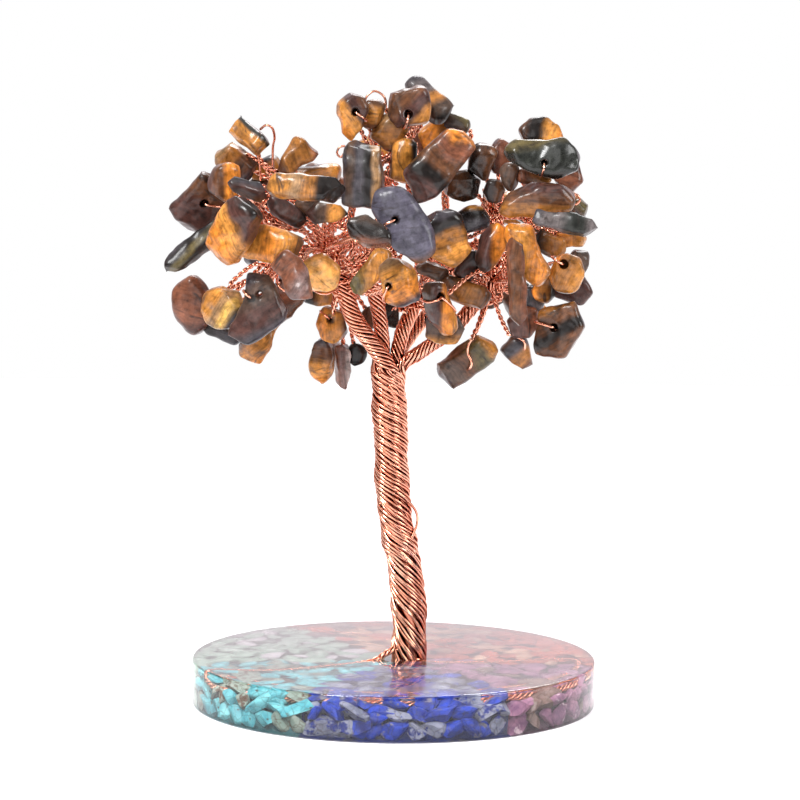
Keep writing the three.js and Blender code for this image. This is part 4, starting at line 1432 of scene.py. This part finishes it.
# %% Beds and pieces
BED_RADIUS = 38.2 * MM
BED_TOP = 5.2 * MM
BED_FLOOR = 0.3 * MM
BED_WAVE = 2.5 * MM
BED_SWELL = 1.5 * MM
STONE_SHARPNESS = math.radians(44)

for start, end, stones in wedges:
    bed = bmesh.new()
    edge_line = [(BED_RADIUS * step / 16, BED_TOP) for step in range(1, 16)]
    edge_line += [(BED_RADIUS - 0.4 * MM, 0.8 * BED_TOP), (BED_RADIUS, 0.5 * BED_TOP)]
    edge_line += [(BED_RADIUS + 0.8 * MM, 2.5 * BED_FLOOR), (DISC_RADIUS - 0.4 * MM, BED_FLOOR)]
    edge_line += [(BED_RADIUS / 16, BED_FLOOR)]
    bed_turn = Matrix.Rotation(math.radians(start), 3, "Z")
    corners = [bed.verts.new(bed_turn @ Vector((away, 0, height))) for away, height in edge_line]
    section = bed.faces.new(corners)
    bmesh.ops.spin(
        bed, geom=[section] + section.edges[:] + corners, cent=(0, 0, 0), axis=(0, 0, 1),
        angle=math.radians(end - start), steps=round((end - start) / 3))
    for vert in bed.verts:
        if vert.co.z > 3 * BED_FLOOR:
            vert.co.z += BED_SWELL * noise.noise(vert.co / BED_WAVE)
    bmesh.ops.recalc_face_normals(bed, faces=bed.faces)
    bed_name = "bed_" + stones[0]
    # The bed takes the darkened finish: painted shade under and between the stones.
    piece = object_of(bed_name, mesh_of(bed_name, bed, shaded_bed_finishes[stones[0]], smooth=False))
    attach(piece, "root")
    print(stones[0], "bed closed:", all(edge.is_manifold for edge in bed.edges))

for stone_name, group in sealed.items():
    mesh = mesh_of("sealed_" + stone_name, group, sealed_finishes[stone_name])
    mesh.set_sharp_from_angle(angle=STONE_SHARPNESS)
    piece = object_of("sealed_" + stone_name, mesh)
    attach(piece, "root")
print("pieces of sealed stones:", len(sealed))

# %% [markdown]
# ## The roots
#
# Some wires of the trunk part from its foot, dip into the disc and run just under its top face,
# twisted together, to the rim and back along it. They hold the tree in the cast.

# %% Roots
ROOT_LAY = 5.5 * MM
ROOT_STEP = 0.4 * MM


def in_disc(x, y, below):
    """A place in the disc, in millimetres from its axis and below its top face."""
    return Vector((x * MM, y * MM, DISC_TOP - below * MM))


roots = [
    ([(2.4, -0.6, -2.3), (0.4, -1.4, -2), (-1.8, -2.3, -1), (-4.2, -3.4, 0.3), (-12, -8, 0.85),
      (-24, -14, 0.9), (-35.6, -13.6, 1.3), (-35.4, -17, 2.6), (-31.5, -19.5, 3.2), (-22.6, -27, 3.0),
      (-12, -32.6, 2.5), (-3, -34.4, 2.2), (4, -33.4, 2.6)], 4, 0.45),
    ([(4.2, -1.2, 0.4), (8, -3.8, 0.85), (20, -2.8, 0.9), (32, 0.8, 1.0), (36.4, 0, 1.4),
      (36.4, -6, 1.9), (33.8, -14, 2.2), (27.8, -22, 2.5), (19, -29, 2.3), (10, -32.6, 2.9)], 4, 0.45),
    ([(3.3, 1, 1.2), (2, 12, 1.8), (-4, 24, 1.9), (-16, 31, 2)], 3, 0.36),
]
root_paths = []
for number, (places, wires, reach) in enumerate(roots):
    line = smooth_line([in_disc(*place) for place in places], ROOT_STEP)
    root_paths += twisted(line, wires, reach * MM, ROOT_LAY, phase=number, wander=0.14)
wire_piece("root_wires", root_paths)

# %% [markdown]
# ## Floor and light
#
# The tree stands on a seamless white sheet in even light. A large lamp above and to the left
# gives the highlights, others fill from the right, the front and behind, and a surround that is
# bright behind and above does the rest.

# %% Studio
FLOOR_WIDTH = 0.5
TREE_MIDDLE = (0, 0, 0.07)

paper = new_material(
    "white_paper", base_color=(0.82, 0.81, 0.83, 1), roughness=0.9, emission_color=(1, 0.985, 1, 1),
    emission_strength=0.3)[0]
sheet = bmesh.new()
bmesh.ops.create_grid(sheet, x_segments=1, y_segments=1, size=FLOOR_WIDTH)
floor = object_of("floor", mesh_of("floor", sheet, paper, smooth=False))

world = bpy.data.worlds.new("surround")
world.use_nodes = True
tree = world.node_tree
split = add_node(tree, "ShaderNodeSeparateXYZ", {"Vector": place_in(tree, "Generated")})
height = ramp(tree, split.outputs["Z"], [(0.0, 0.0), (0.4, 0.15), (0.8, 0.75)])
behind = ramp(tree, split.outputs["Y"], [(0.0, 0.11), (0.35, 0.5), (0.8, (0.86, 0.78, 0.83))])
dome = mixed(tree, 1.0, height, behind, "LIGHTEN")
to_camera = add_node(tree, "ShaderNodeLightPath").outputs["Is Camera Ray"]
seen = mixed(tree, to_camera, dome, (1, 1, 1, 1))
tree.links.new(seen, tree.nodes["Background"].inputs["Color"])
bpy.context.scene.world = world
bpy.context.scene.view_settings.view_transform = "Standard"


def lamp(name, place, size, power):
    """A square soft lamp that looks at the tree."""
    data = bpy.data.lights.new(name, "AREA")
    data.size = size
    data.energy = power
    light = object_of(name, data)
    light.location = place
    light.rotation_euler = (Vector(TREE_MIDDLE) - Vector(place)).to_track_quat("-Z", "Y").to_euler()


lamp("key", (-0.35, -0.45, 0.65), 0.25, 6.5)
lamp("fill", (0.6, -0.3, 0.35), 0.3, 2.6)
lamp("front", (-0.15, -0.7, 0.3), 0.45, 1.3)
lamp("back", (0.1, 0.6, 0.6), 0.4, 3.5)
print("lamps set")
